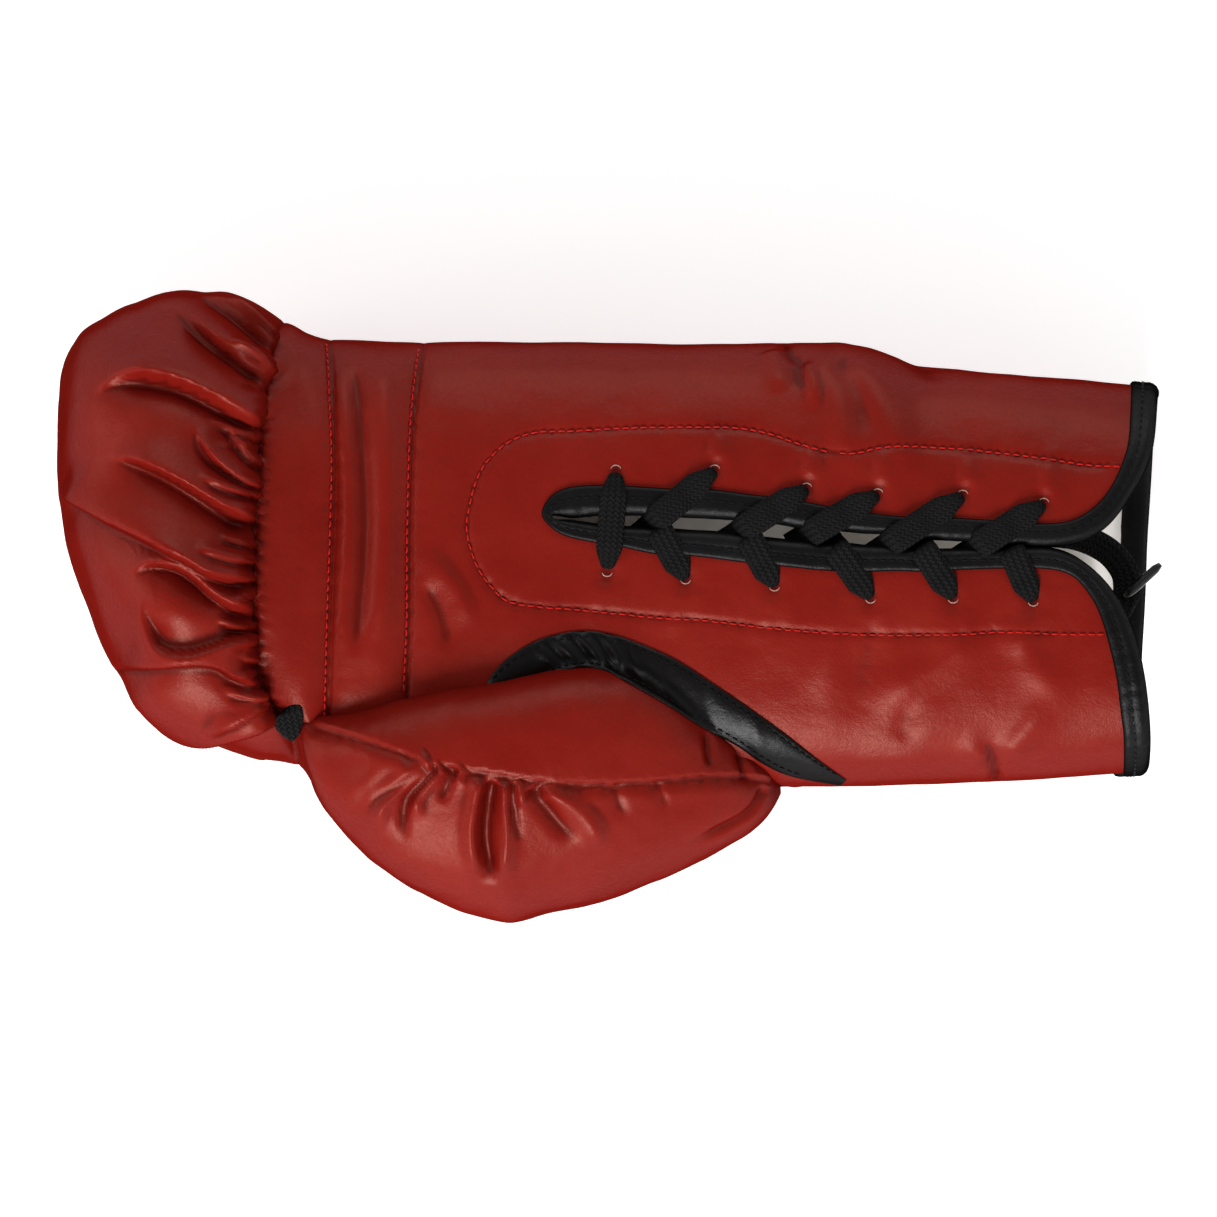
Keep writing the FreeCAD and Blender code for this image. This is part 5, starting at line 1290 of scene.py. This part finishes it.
# the palm side rises to meet the bound slot edge
slot_mid = np.interp(CX, [-20, 130, 150, 163], [27.5, 19.0, 16.0, 12.0])[:, None]
dist = np.abs(lin_top[..., 1] - slot_mid)
near = smooth(1 - (dist - 6) / 16) * smooth((CX[:, None] + 34) / 14)
outer_z = np.array([[drop(x, y)[0][2] if drop(x, y)[0] is not None else 0.0 for y in np.linspace(-40, 60, 21)] for x in np.clip(CX, -150, 160)])
oz = np.array([np.interp(lin_top[i, :, 1], np.linspace(-40, 60, 21), outer_z[i]) for i in range(len(CX))])
lin_top[..., 2] = lin_top[..., 2] * (1 - near) + np.maximum(lin_top[..., 2], oz - 5.2) * near


def ruffle(P, outward_down):
    n = all_normals(P, outward_down)
    w = fbm(P * np.array([0.55, 1.0, 1.0]), 15.0, 3, 2.2)
    edge_keep = (smooth(np.minimum(V_L, 1 - V_L) / 0.06))[None, :]
    return P + n * (w * 0.8 * edge_keep)[..., None]


mouth_lift = (smooth((CX - 118) / 26) * (1 - smooth((CX - 146) / 11)))[:, None] * smooth(np.minimum(V_L, 1 - V_L) / 0.22)[None, :]
lin_bot[..., 2] += 17.0 * mouth_lift
lin_top, lin_bot = ruffle(lin_top, False), ruffle(lin_bot, True)
lm_top = (lin_top[:-1, :-1] + lin_top[1:, 1:]) / 2
lm_bot = (lin_bot[:-1, :-1] + lin_bot[1:, 1:]) / 2
l_mask = inside(cut_poly, lm_top[..., 0], lm_top[..., 1])
lb_mask = lm_bot[..., 0] > mouth_x(lm_bot[..., 1]) - 3.6
i_lw = int(np.argmin(abs(CX - 66)))
i_lf = int(np.argmin(abs(CX + 82)))
nl = len(CX)


def lining_piece(name, spec):
    vs, fs, cs, ns, base = [], [], [], [], 0
    for P, msk, ia, ib, extra, down in spec:
        keep = ~msk
        i, j = np.meshgrid(np.arange(nl - 1), np.arange(NL - 1), indexing="ij")
        keep = keep & (i >= ia) & (i < ib)
        if extra is not None:
            keep &= extra
        n = all_normals(P, down)
        v, f, n2 = compact(P.reshape(-1, 3), grid_faces(nl, NL, keep, flip=not down), -n.reshape(-1, 3))
        vs.append(v)
        fs.append(f + base)
        ns.append(n2)
        base += len(v)
    v = np.vstack(vs)
    x = v[:, 0]
    # painted light: a glow of the thin cloth where the slot is open and at the mouth, standing in for light that comes
    # through it
    glow = 0.035 * smooth((x - 8) / 8) * (1 - smooth((x - 52) / 8)) + 0.17 * smooth((x - 122) / 30)
    return make(name, v, np.vstack(fs), LINING, np.vstack(ns), {"cav": np.zeros(len(v)), "glow": glow})


lining_piece("finger_lining", [(lin_top, l_mask, 0, i_lf, None, False), (lin_bot, lb_mask, 0, i_lf, None, True)])
lining_piece("hand_lining", [(lin_top, l_mask, i_lf, i_lw, None, False), (lin_bot, lb_mask, i_lf, i_lw, None, True)])
lining_piece("cuff_lining", [(lin_bot, lb_mask, i_lw, nl - 1, None, True)])
lining_piece("ulnar_flap_lining", [(lin_top, l_mask, i_lw, nl - 1, lm_top[..., 1] > 20, False)])
lining_piece("radial_flap_lining", [(lin_top, l_mask, i_lw, nl - 1, lm_top[..., 1] <= 20, False)])

# a soft roll to close the hand on, gathered at both ends of its sleeve
gy = np.linspace(GRIP_Y0, GRIP_Y1, 150)
ga = np.linspace(0, 2 * math.pi, 64, endpoint=False)
roll = np.empty((len(gy), 64, 3))
for i, y in enumerate(gy):
    e = min(y - GRIP_Y0, GRIP_Y1 - y)
    r = 7.3 * math.sqrt(max(1 - max(1 - e / 6.0, 0.0) ** 2, 0.02)) + 1.0 * math.exp(-(((y - (GRIP_Y0 + GRIP_Y1) / 2) / 24.0) ** 2))
    gather = 0.45 * math.exp(-(((e - 7.0) / 5.0) ** 2))
    rr_ = r + gather * np.sin(ga * 11 + 0.6 * math.sin(y * 0.4)) * 0.8 - 0.7 * np.exp(-(((ga - 1.9) / 0.10) ** 2)) + 0.25 * np.sin(ga * 3 + y * 0.11)
    roll[i, :, 0] = -98.5 + rr_ * np.cos(ga)
    roll[i, :, 1] = y
    roll[i, :, 2] = GRIP_Z + rr_ * np.sin(ga)
ring_mesh("grip_bar", roll, LINING)


# -------------------------------------------------------------------------- lace
def ribbon(name, P, Nn, widths, thick, material, cup=0.0):
    """A flat braid with rounded edges, carried along P with up direction Nn."""
    P, Nn, widths = np.asarray(P, float), np.asarray(Nn, float), np.asarray(widths, float)
    T = np.gradient(P, axis=0)
    T /= np.linalg.norm(T, axis=1, keepdims=True)
    A = np.cross(Nn, T)
    A /= np.linalg.norm(A, axis=1, keepdims=True)
    U = np.cross(T, A)
    prof = []
    for a in np.linspace(-1, 1, 9):
        prof.append((a * 0.96, 0.5 * (1 - abs(a) ** 6 * 0.7)))
    prof.append((1.0, 0.0))
    for a in np.linspace(1, -1, 9):
        prof.append((a * 0.96, -0.5 * (1 - abs(a) ** 6 * 0.7)))
    prof.append((-1.0, 0.0))
    rings = np.empty((len(P), len(prof), 3))
    s = np.concatenate([[0], np.cumsum(np.linalg.norm(np.diff(P, axis=0), axis=1))])
    uv = np.empty((len(P), len(prof), 2))
    for k, (a, b) in enumerate(prof):
        rings[:, k] = P + A * (a * widths / 2)[:, None] + U * (b * thick - cup * a * a)[:, None] if isinstance(thick, np.ndarray) else P + A * (a * widths / 2)[:, None] + U * (b * thick - cup * a * a)
        uv[:, k, 0] = s
        uv[:, k, 1] = a * widths / 2
    return ring_mesh(name, rings, material, True, uv.reshape(-1, 2))


def lace_strand(start, hole, over, top_w=8.3, z_start=-5.0, rise=0.0, tuck=0.0):
    """From under the far flap, over this flap's bound edge, to its hole."""
    start, hole = np.array(start, float), np.array(hole, float)
    d = hole - start
    L = np.linalg.norm(d)
    d /= L
    start = start - d * tuck
    L += 0.9 + tuck
    plan, heights, ws = [], [], []
    ts = np.linspace(0, 1, 46)
    P, Nn = [], []
    for t in ts:
        x, y = start + d * L * t
        l, n = drop(x, y)
        # smooth normals
        l2, n2 = drop(x + 1.5, y + 1.5)
        l3, n3 = drop(x - 1.5, y - 1.5)
        n = n + n2 + n3 + np.array([0, 0, 1.5])
        n /= np.linalg.norm(n)
        on_edge = smooth((t - over) / 0.12)
        bound = smooth((t - over) / 0.10) * (1 - smooth((t - over - 0.36) / 0.16))
        h = z_start * (1 - on_edge) + on_edge * (0.9 + 1.35 * bound + rise)
        h += -5.5 * smooth((t - 0.955) / 0.045) + 0.25 * math.sin(t * 9)
        P.append(l + n * h)
        Nn.append(n)
        w = top_w * (1 - 0.55 * smooth((t - 0.72) / 0.26)) * (0.94 + 0.06 * smooth((t - over) / 0.2))
        ws.append(w)
    P, Nn = np.array(P), np.array(Nn)
    for _ in range(3):
        P[1:-1] = (P[:-2] + 2 * P[1:-1] + P[2:]) / 4
        Nn[1:-1] = Nn[:-2] + 2 * Nn[1:-1] + Nn[2:]
        Nn /= np.linalg.norm(Nn, axis=1, keepdims=True)
    return P, Nn, np.array(ws)


def join(name, names):
    obs = [ALL.pop(n) for n in names]
    with bpy.context.temp_override(active_object=obs[0], selected_editable_objects=obs, selected_objects=obs, object=obs[0]):
        bpy.ops.object.join()
    obs[0].name = name
    obs[0].data.name = name
    ALL[name] = obs[0]
    return obs[0]


UP = q([(644, 531), (730, 538), (797, 541), (874, 553), (962, 555)])
LOW = q([(652, 518), (741, 526), (824, 535), (911, 536), (1001, 538)])
groups = {"lace_palm_crossings": [], "lace_ulnar_crossings": [], "lace_radial_crossings": []}
for k in range(5):
    s = lace_strand(UP[k], HOLES_U[k + 1], 0.13, rise=0.35, tuck=3.0)
    nm = f"u{k}"
    ribbon(nm, s[0], s[1], s[2], 1.15, LACE, 0.25)
    groups["lace_palm_crossings" if k < 2 else "lace_ulnar_crossings"].append(nm)
    s = lace_strand(LOW[k], HOLES_L[k + 1], 0.14, tuck=1.0)
    nm = f"l{k}"
    ribbon(nm, s[0], s[1], s[2], 1.15, LACE, 0.25)
    groups["lace_palm_crossings" if k < 2 else "lace_radial_crossings"].append(nm)
# straight bar over the first row
a, b = np.array(HOLES_L[0]), np.array(HOLES_U[0])
P, Nn, ws = [], [], []
for t in np.linspace(0, 1, 50):
    x, y = a + (b - a) * t
    l, n = drop(x, y)
    n = np.array([0, 0, 1.0])
    e = min(t, 1 - t)
    z = l[2] + 0.8 + 1.5 * smooth((e - 0.10) / 0.15) - 5.5 * (1 - smooth((e + 0.012) / 0.045))
    P.append((x, y, z))
    Nn.append(n)
    ws.append(7.9 * (1 - 0.5 * (1 - smooth(e / 0.24))))
P = np.array(P)
for _ in range(3):
    P[1:-1] = (P[:-2] + 2 * P[1:-1] + P[2:]) / 4
ribbon("bar", P, np.array(Nn), np.array(ws), 1.15, LACE, 0.25)
groups["lace_palm_crossings"].append("bar")
for nm, members in groups.items():
    join(nm, members)

# pale raw edges of the punched lace holes
rim_m, t_, p_ = nodes_of("raw_edge")
co_ = mm_coords(t_)
tw = N(t_, "ShaderNodeTexNoise", Scale=1.4, Detail=3.0)
t_.links.new(co_, tw.inputs["Vector"])
t_.links.new(mixc(t_, tw.outputs[0], lin(120, 62, 52), lin(196, 160, 146)), p_.inputs["Base Color"])
p_.inputs["Roughness"].default_value = 0.85
rim_groups = {"hole_edges_palm": [], "hole_edges_ulnar": [], "hole_edges_radial": []}
for side_, hs in (("ulnar", HOLES_U), ("radial", HOLES_L)):
    for k, (hx, hy) in enumerate(hs):
        far = -1.0 if side_ == "radial" else 1.0
        path = []
        for an in np.linspace(0.04 * math.pi, 0.96 * math.pi, 22):
            x, y = hx + 1.5 * math.cos(an), hy + far * 1.3 * math.sin(an) + far * 0.35
            l, n = drop(x, y)
            path.append(l + n * 0.12)
        path = np.array(path)
        tt_ = np.gradient(path, axis=0)
        tt_ /= np.linalg.norm(tt_, axis=1, keepdims=True)
        side_v = np.cross(tt_, [0, 0, 1.0])
        side_v /= np.linalg.norm(side_v, axis=1, keepdims=True)
        up_v = np.cross(side_v, tt_)
        rr_ = np.empty((22, 8, 3))
        w_ = 0.19 * np.sin(np.linspace(0.12, math.pi - 0.12, 22)) ** 0.5
        for m in range(8):
            an = 2 * math.pi * m / 8
            rr_[:, m] = path + side_v * (w_ * math.cos(an))[:, None] + up_v * (w_ * 0.8 * math.sin(an))[:, None]
        nm = f"rim_{side_}_{k}"
        ring_mesh(nm, rr_, rim_m)
        rim_groups["hole_edges_palm" if hx < WRIST else "hole_edges_" + side_].append(nm)
for nm, members in rim_groups.items():
    join(nm, members)

# loose end, inside the mouth
tail = spline([(118, 22.0, 22.0), (129, 22.5, 20.5), (140, 21.5, 18.0), (149, 17.5, 16.0), (154.2, 11.5, 15.2), (155.2, 6.0, 15.6), (154.4, 1.0, 16.2), (153.0, -2.6, 16.8)], n=60)
tn = np.tile([0.0, 0.12, 1.0], (60, 1))
tn /= np.linalg.norm(tn, axis=1, keepdims=True)
tw_ = np.full(60, 8.4)
tw_[-10:] = np.linspace(8.4, 4.6, 10)
ribbon("lace_end", tail, tn, tw_, 1.15, LACE, 0.2)
ag = spline([(154.2, 3.6, 17.0), (157.0, 5.8, 17.8), (160.6, 9.2, 18.8), (164.9, 13.2, 19.8)], n=24)
rad = np.concatenate([np.linspace(0.9, 1.35, 4), np.full(16, 1.35), np.linspace(1.3, 0.7, 4)])
T = np.gradient(ag, axis=0)
T /= np.linalg.norm(T, axis=1, keepdims=True)
A_ = np.cross(T, [0, 0, 1.0])
A_ /= np.linalg.norm(A_, axis=1, keepdims=True)
U_ = np.cross(A_, T)
rr = np.empty((24, 16, 3))
for k in range(16):
    an = 2 * math.pi * k / 16
    rr[:, k] = ag + A_ * (rad * math.cos(an))[:, None] + U_ * (rad * 0.8 * math.sin(an))[:, None]
ring_mesh("lace_aglet", rr, AGLET)

# -------------------------------------------------------------------------- welt
W_A = spline(q([(486, 686), (493, 674), (511, 656), (541, 639), (577, 631), (606, 633), (635, 642), (674, 659), (710, 682), (747, 707), (783, 733), (819, 761), (846, 780)]), n=150)
W_B = spline(q([(492, 700), (508, 694), (532, 684), (562, 671), (584, 667), (606, 670), (625, 680), (664, 702), (698, 724), (737, 746), (760, 762), (790, 776), (840, 786)]), n=150)
NW = 15
wr = np.empty((150, NW, 3))
under_z = np.empty((150, NW))
for i in range(150):
    for j in range(NW):
        t = j / (NW - 1)
        x, y = W_A[i] * (1 - t) + W_B[i] * t
        l, n = drop(x, y, body_tree)
        z = l[2] if l is not None else 0.0
        l, n = drop(x, y, thumb_tree)
        if l is not None and l[2] > z:
            z += (l[2] - z) * float(smooth((x + 18.0) / 8.0))
        crown = 1.15 * (1 - abs(2 * t - 1) ** 4)
        under_z[i, j] = z
        wr[i, j] = (x, y, z + 0.25 + crown)
for _ in range(8):
    zz = wr[..., 2]
    zz[1:-1] = (zz[:-2] + 2 * zz[1:-1] + zz[2:]) / 4
    zz[:, 1:-1] = (zz[:, :-2] + 2 * zz[:, 1:-1] + zz[:, 2:]) / 4
bunch = np.zeros((150, NW))
for c, a, w in ((34, 0.9, 2.0), (39, -0.8, 1.6), (43, 1.0, 2.0), (48, -0.9, 1.7), (53, 0.8, 2.1), (59, -0.5, 1.8), (26, 0.5, 2.0), (30, -0.5, 1.5), (70, 0.3, 3.0), (90, -0.3, 3.0), (112, 0.3, 3.5)):
    i = np.arange(150)[:, None]
    j = np.arange(NW)[None, :]
    bunch += a * np.exp(-(((i - c - (j - 7) * 0.5) / w) ** 2)) * np.sin(math.pi * (j + 1) / (NW + 1)) ** 0.8
wr[..., 2] += bunch
wr[..., 2] = np.maximum(wr[..., 2], under_z + 0.55)
# thickness: a skirt down to the leather
skirt = wr.copy()
skirt[:, 0, 2] -= 2.4
skirt[:, -1, 2] -= 2.4
rings_w = np.concatenate([skirt[:, :1], wr, skirt[:, -1:]], axis=1)
nw = all_normals(rings_w)
o = make("thumb_welt", rings_w.reshape(-1, 3), grid_faces(150, NW + 2), WELT, None, {"cav": hollow(rings_w, nw).ravel()})
bm = bmesh.new()
bm.from_mesh(o.data)
bmesh.ops.recalc_face_normals(bm, faces=bm.faces)
if sum(f.normal.z for f in bm.faces) < 0:
    bmesh.ops.reverse_faces(bm, faces=bm.faces)
bm.to_mesh(o.data)
bm.free()
top_n = np.tile([0, 0, 1.0], (150, 1))
stitches("welt_stitches", [(wr[4:-4, 2], top_n[4:-4]), (wr[4:-14, -3], top_n[4:-14])], DARKTHREAD, pitch=2.6, length=1.8, r=0.25)

# --------------------------------------------------------------------- thumb tab
tp, tnn, tws = [], [], []
for t in np.linspace(0, 1, 26):
    x, y = -96.0 + 2.1 * t, -30.2 - 9.0 * t
    zs = []
    for ox, oy in ((0, 0), (2.5, 0), (-2.5, 0), (0, 2.0), (0, -2.0)):
        for tr in (body_tree, thumb_tree):
            l, n = drop(x + ox, y + oy, tr)
            if l is not None:
                zs.append(l[2])
    tp.append((x, y, max(zs) + 0.7))
    tnn.append((-0.1, -0.25, 1.0))
    tws.append(10.4 * math.sqrt(max(1.0 - (max(t - 0.12, 0.0) / 0.88) ** 2.2, 0.03)) * (1 - 0.22 * t))
tp = np.array(tp)
for _ in range(60):
    tp[1:-1, 2] = (tp[:-2, 2] + 2 * tp[1:-1, 2] + tp[2:, 2]) / 4
tp[:, 2] += 0.8 * np.sin(np.linspace(0, math.pi, len(tp)))
tp[0, 2] -= 2.4
tp[1, 2] -= 1.4
tp[2, 2] -= 0.5
ribbon("thumb_tab", tp, np.array(tnn), np.array(tws), 1.3, WEB, 0.1)

# ------------------------------------------------------------- riding; pieces between two bodies only have their transforms baked
def put(name, body=None, between=None, weight=None, nodes=()):
    o = ALL[name]
    if between is None:
        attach(o, body)
    else:
        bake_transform(o)
        if weight is not None:
            co = np.empty(len(o.data.vertices) * 3)
            o.data.vertices.foreach_get("co", co)
            co = co.reshape(-1, 3) * 1000 - SHIFT
            weight(co).astype(np.float32)
    if nodes:
        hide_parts(*nodes)


KNUCKLE = ("fingers", "hand", (-104, 15, 0), (-60, 15, 0))
WRISTB = ("hand", "cuff", (40, 15, 0), (66, 15, 0))
yu_at = lambda x: pchip([r[0] for r in VIS], [r[2] for r in VIS], x)
yl_at = lambda x: pchip([r[0] for r in VIS], [r[1] for r in VIS], x)


def w_ulnar(co):
    s = (yu_at(co[:, 0]) - co[:, 1]) / (yu_at(co[:, 0]) - 26.0)
    return smooth((co[:, 0] - 70) / 45) * smooth((s - 0.06) / 0.75) * smooth(co[:, 2] / 6 + 0.2)


def w_radial(co):
    s = (co[:, 1] - yl_at(co[:, 0])) / (16.0 - yl_at(co[:, 0]))
    return smooth((co[:, 0] - 70) / 45) * smooth((s - 0.06) / 0.75) * smooth(co[:, 2] / 6 + 0.2)


def w_thumb(co):
    return smooth((44.0 - co[:, 0]) / 80.0)


UL = ("cuff", "ulnar_flap", (100, 70, 0), (100, 20, 0))
RL = ("cuff", "radial_flap", (100, -50, 0), (100, 10, 0))
TH = ("hand", "thumb", (44, -55, 0), (-40, -55, 0))

put("finger_shell", between=KNUCKLE, nodes=("finger_shell", "knuckle_pad", "finger_side_pad", "finger_top_pad"))
put("palm_roll_front", between=KNUCKLE, nodes=("palm_roll_front",))
put("palm_roll_rear", between=KNUCKLE, nodes=("palm_roll_rear", "palm_roll_filler"))
put("back_panel_front", between=KNUCKLE, nodes=("back_shell", "back_pad"))
put("back_panel_rear", between=WRISTB, nodes=("ulnar_edge_pad", "radial_edge_pad"))
put("palm_panel", between=WRISTB, nodes=("palm_panel", "palm_pad", "lace_facing_palm"))
put("cuff_back", body="cuff", nodes=("cuff_back_shell", "cuff_back_pad"))
put("ulnar_flap_panel", between=UL, weight=w_ulnar, nodes=("ulnar_flap_panel", "ulnar_flap_pad", "ulnar_flap_facing"))
put("radial_flap_panel", between=RL, weight=w_radial, nodes=("radial_flap_panel", "radial_flap_pad", "radial_flap_facing"))
put("finger_lining", between=KNUCKLE, nodes=("finger_lining",))
put("hand_lining", between=WRISTB, nodes=("hand_lining",))
put("cuff_lining", body="cuff", nodes=("cuff_lining",))
put("ulnar_flap_lining", between=UL, weight=w_ulnar, nodes=("ulnar_flap_lining",))
put("radial_flap_lining", between=RL, weight=w_radial, nodes=("radial_flap_lining",))
put("slot_binding_palm", between=WRISTB, nodes=("slot_binding_palm",))
put("ulnar_flap_binding", between=UL, weight=w_ulnar, nodes=("ulnar_flap_binding",))
put("radial_flap_binding", between=RL, weight=w_radial, nodes=("radial_flap_binding",))
put("cuff_binding", body="cuff", nodes=("cuff_binding",))
put("binding_stitches_palm", between=WRISTB)
put("binding_stitches_ulnar", between=UL, weight=w_ulnar)
put("binding_stitches_radial", between=RL, weight=w_radial)
put("binding_stitches_cuff", body="cuff")
put("facing_stitches_palm", between=WRISTB, nodes=("facing_thread_palm",))
put("facing_stitches_ulnar", between=UL, weight=w_ulnar, nodes=("ulnar_flap_thread",))
put("facing_stitches_radial", between=RL, weight=w_radial, nodes=("radial_flap_thread",))
put("roll_stitches_front", between=KNUCKLE, nodes=("roll_thread_front",))
put("roll_stitches_rear", between=KNUCKLE, nodes=("roll_thread_rear",))
put("lace_palm_crossings", between=WRISTB, nodes=("lace_palm_crossings",))
put("lace_ulnar_crossings", between=UL, weight=w_ulnar, nodes=("lace_ulnar_crossings",))
put("lace_radial_crossings", between=RL, weight=w_radial, nodes=("lace_radial_crossings",))
put("hole_edges_palm", between=WRISTB)
put("hole_edges_ulnar", between=UL, weight=w_ulnar)
put("hole_edges_radial", between=RL, weight=w_radial)
put("lace_end", body="lace_end", nodes=("lace_end",))
put("lace_aglet", body="lace_end", nodes=("lace_aglet",))
put("thumb_inner_panel", between=TH, weight=w_thumb, nodes=("thumb_inner_panel", "thumb_pad", "thumb_lining"))
put("thumb_outer_panel", between=TH, weight=w_thumb, nodes=("thumb_outer_panel",))
put("thumb_welt", between=WRISTB, nodes=("thumb_welt",))
put("welt_stitches", between=WRISTB)
put("thumb_tab", between=("hand", "fingers", (-91.5, -37.0, 0), (-99.5, -32.0, 0)), nodes=("thumb_tab",))

put("grip_bar", body="fingers", nodes=("grip_bar_core", "grip_bar_sleeve"))

# ------------------------------------------------------------ studio and camera
bpy.ops.mesh.primitive_plane_add(size=6.0, location=(0, 0, 0))
floor = bpy.context.object
floor.name = "floor"
fm, ft, fp = nodes_of("floor_paper")
fp.inputs["Base Color"].default_value = (0.86, 0.86, 0.86, 1)
fp.inputs["Roughness"].default_value = 0.9
fp.inputs["Emission Color"].default_value = (1, 1, 1, 1)
fp.inputs["Emission Strength"].default_value = 0.48
floor.data.materials.append(fm)

world = bpy.data.worlds.new("studio")
bpy.context.scene.world = world
world.use_nodes = True
wt = world.node_tree
bg = wt.nodes["Background"]
wc = wt.nodes.new("ShaderNodeTexCoord")
ws = wt.nodes.new("ShaderNodeSeparateXYZ")
wm = wt.nodes.new("ShaderNodeMapRange")
wt.links.new(wc.outputs["Generated"], ws.inputs[0])
wt.links.new(ws.outputs[2], wm.inputs["Value"])
wm.inputs["From Min"].default_value, wm.inputs["From Max"].default_value = 0.25, 0.95
wm.inputs["To Min"].default_value, wm.inputs["To Max"].default_value = 0.85, 0.24
wt.links.new(wm.outputs[0], bg.inputs[1])
bg.inputs[0].default_value = (1.0, 1.0, 1.0, 1)


def area(name, loc, target, size, power, sy=None):
    d = bpy.data.lights.new(name, "AREA")
    d.energy = power
    d.shape = "RECTANGLE"
    d.size, d.size_y = size, sy or size
    o = bpy.data.objects.new(name, d)
    bpy.context.scene.collection.objects.link(o)
    o.location = loc
    o.rotation_mode = "QUATERNION"
    o.rotation_quaternion = (Vector(target) - Vector(loc)).to_track_quat("-Z", "Y")
    return o


area("key", (-0.45, -2.2, 1.65), (0, 0, 0.06), 1.2, 98.0)
area("rim", (0.2, 2.4, 1.35), (0, 0, 0.06), 1.9, 20.0, 1.2)
area("side", (-2.2, 0.2, 1.3), (0, 0, 0.06), 1.2, 14.0)

cam_d = bpy.data.cameras.new("camera")
cam = bpy.data.objects.new("camera", cam_d)
bpy.context.scene.collection.objects.link(cam)
cam.location = (-0.0005, 0.00025, 2.362)
cam.rotation_euler = (0, 0, 0)
cam_d.sensor_width = 36.0
cam_d.lens = 36.0 * 2.29 / 0.3651
cam_d.clip_start, cam_d.clip_end = 0.1, 20.0
bpy.context.scene.camera = cam
bpy.context.scene.view_settings.view_transform = "Standard"
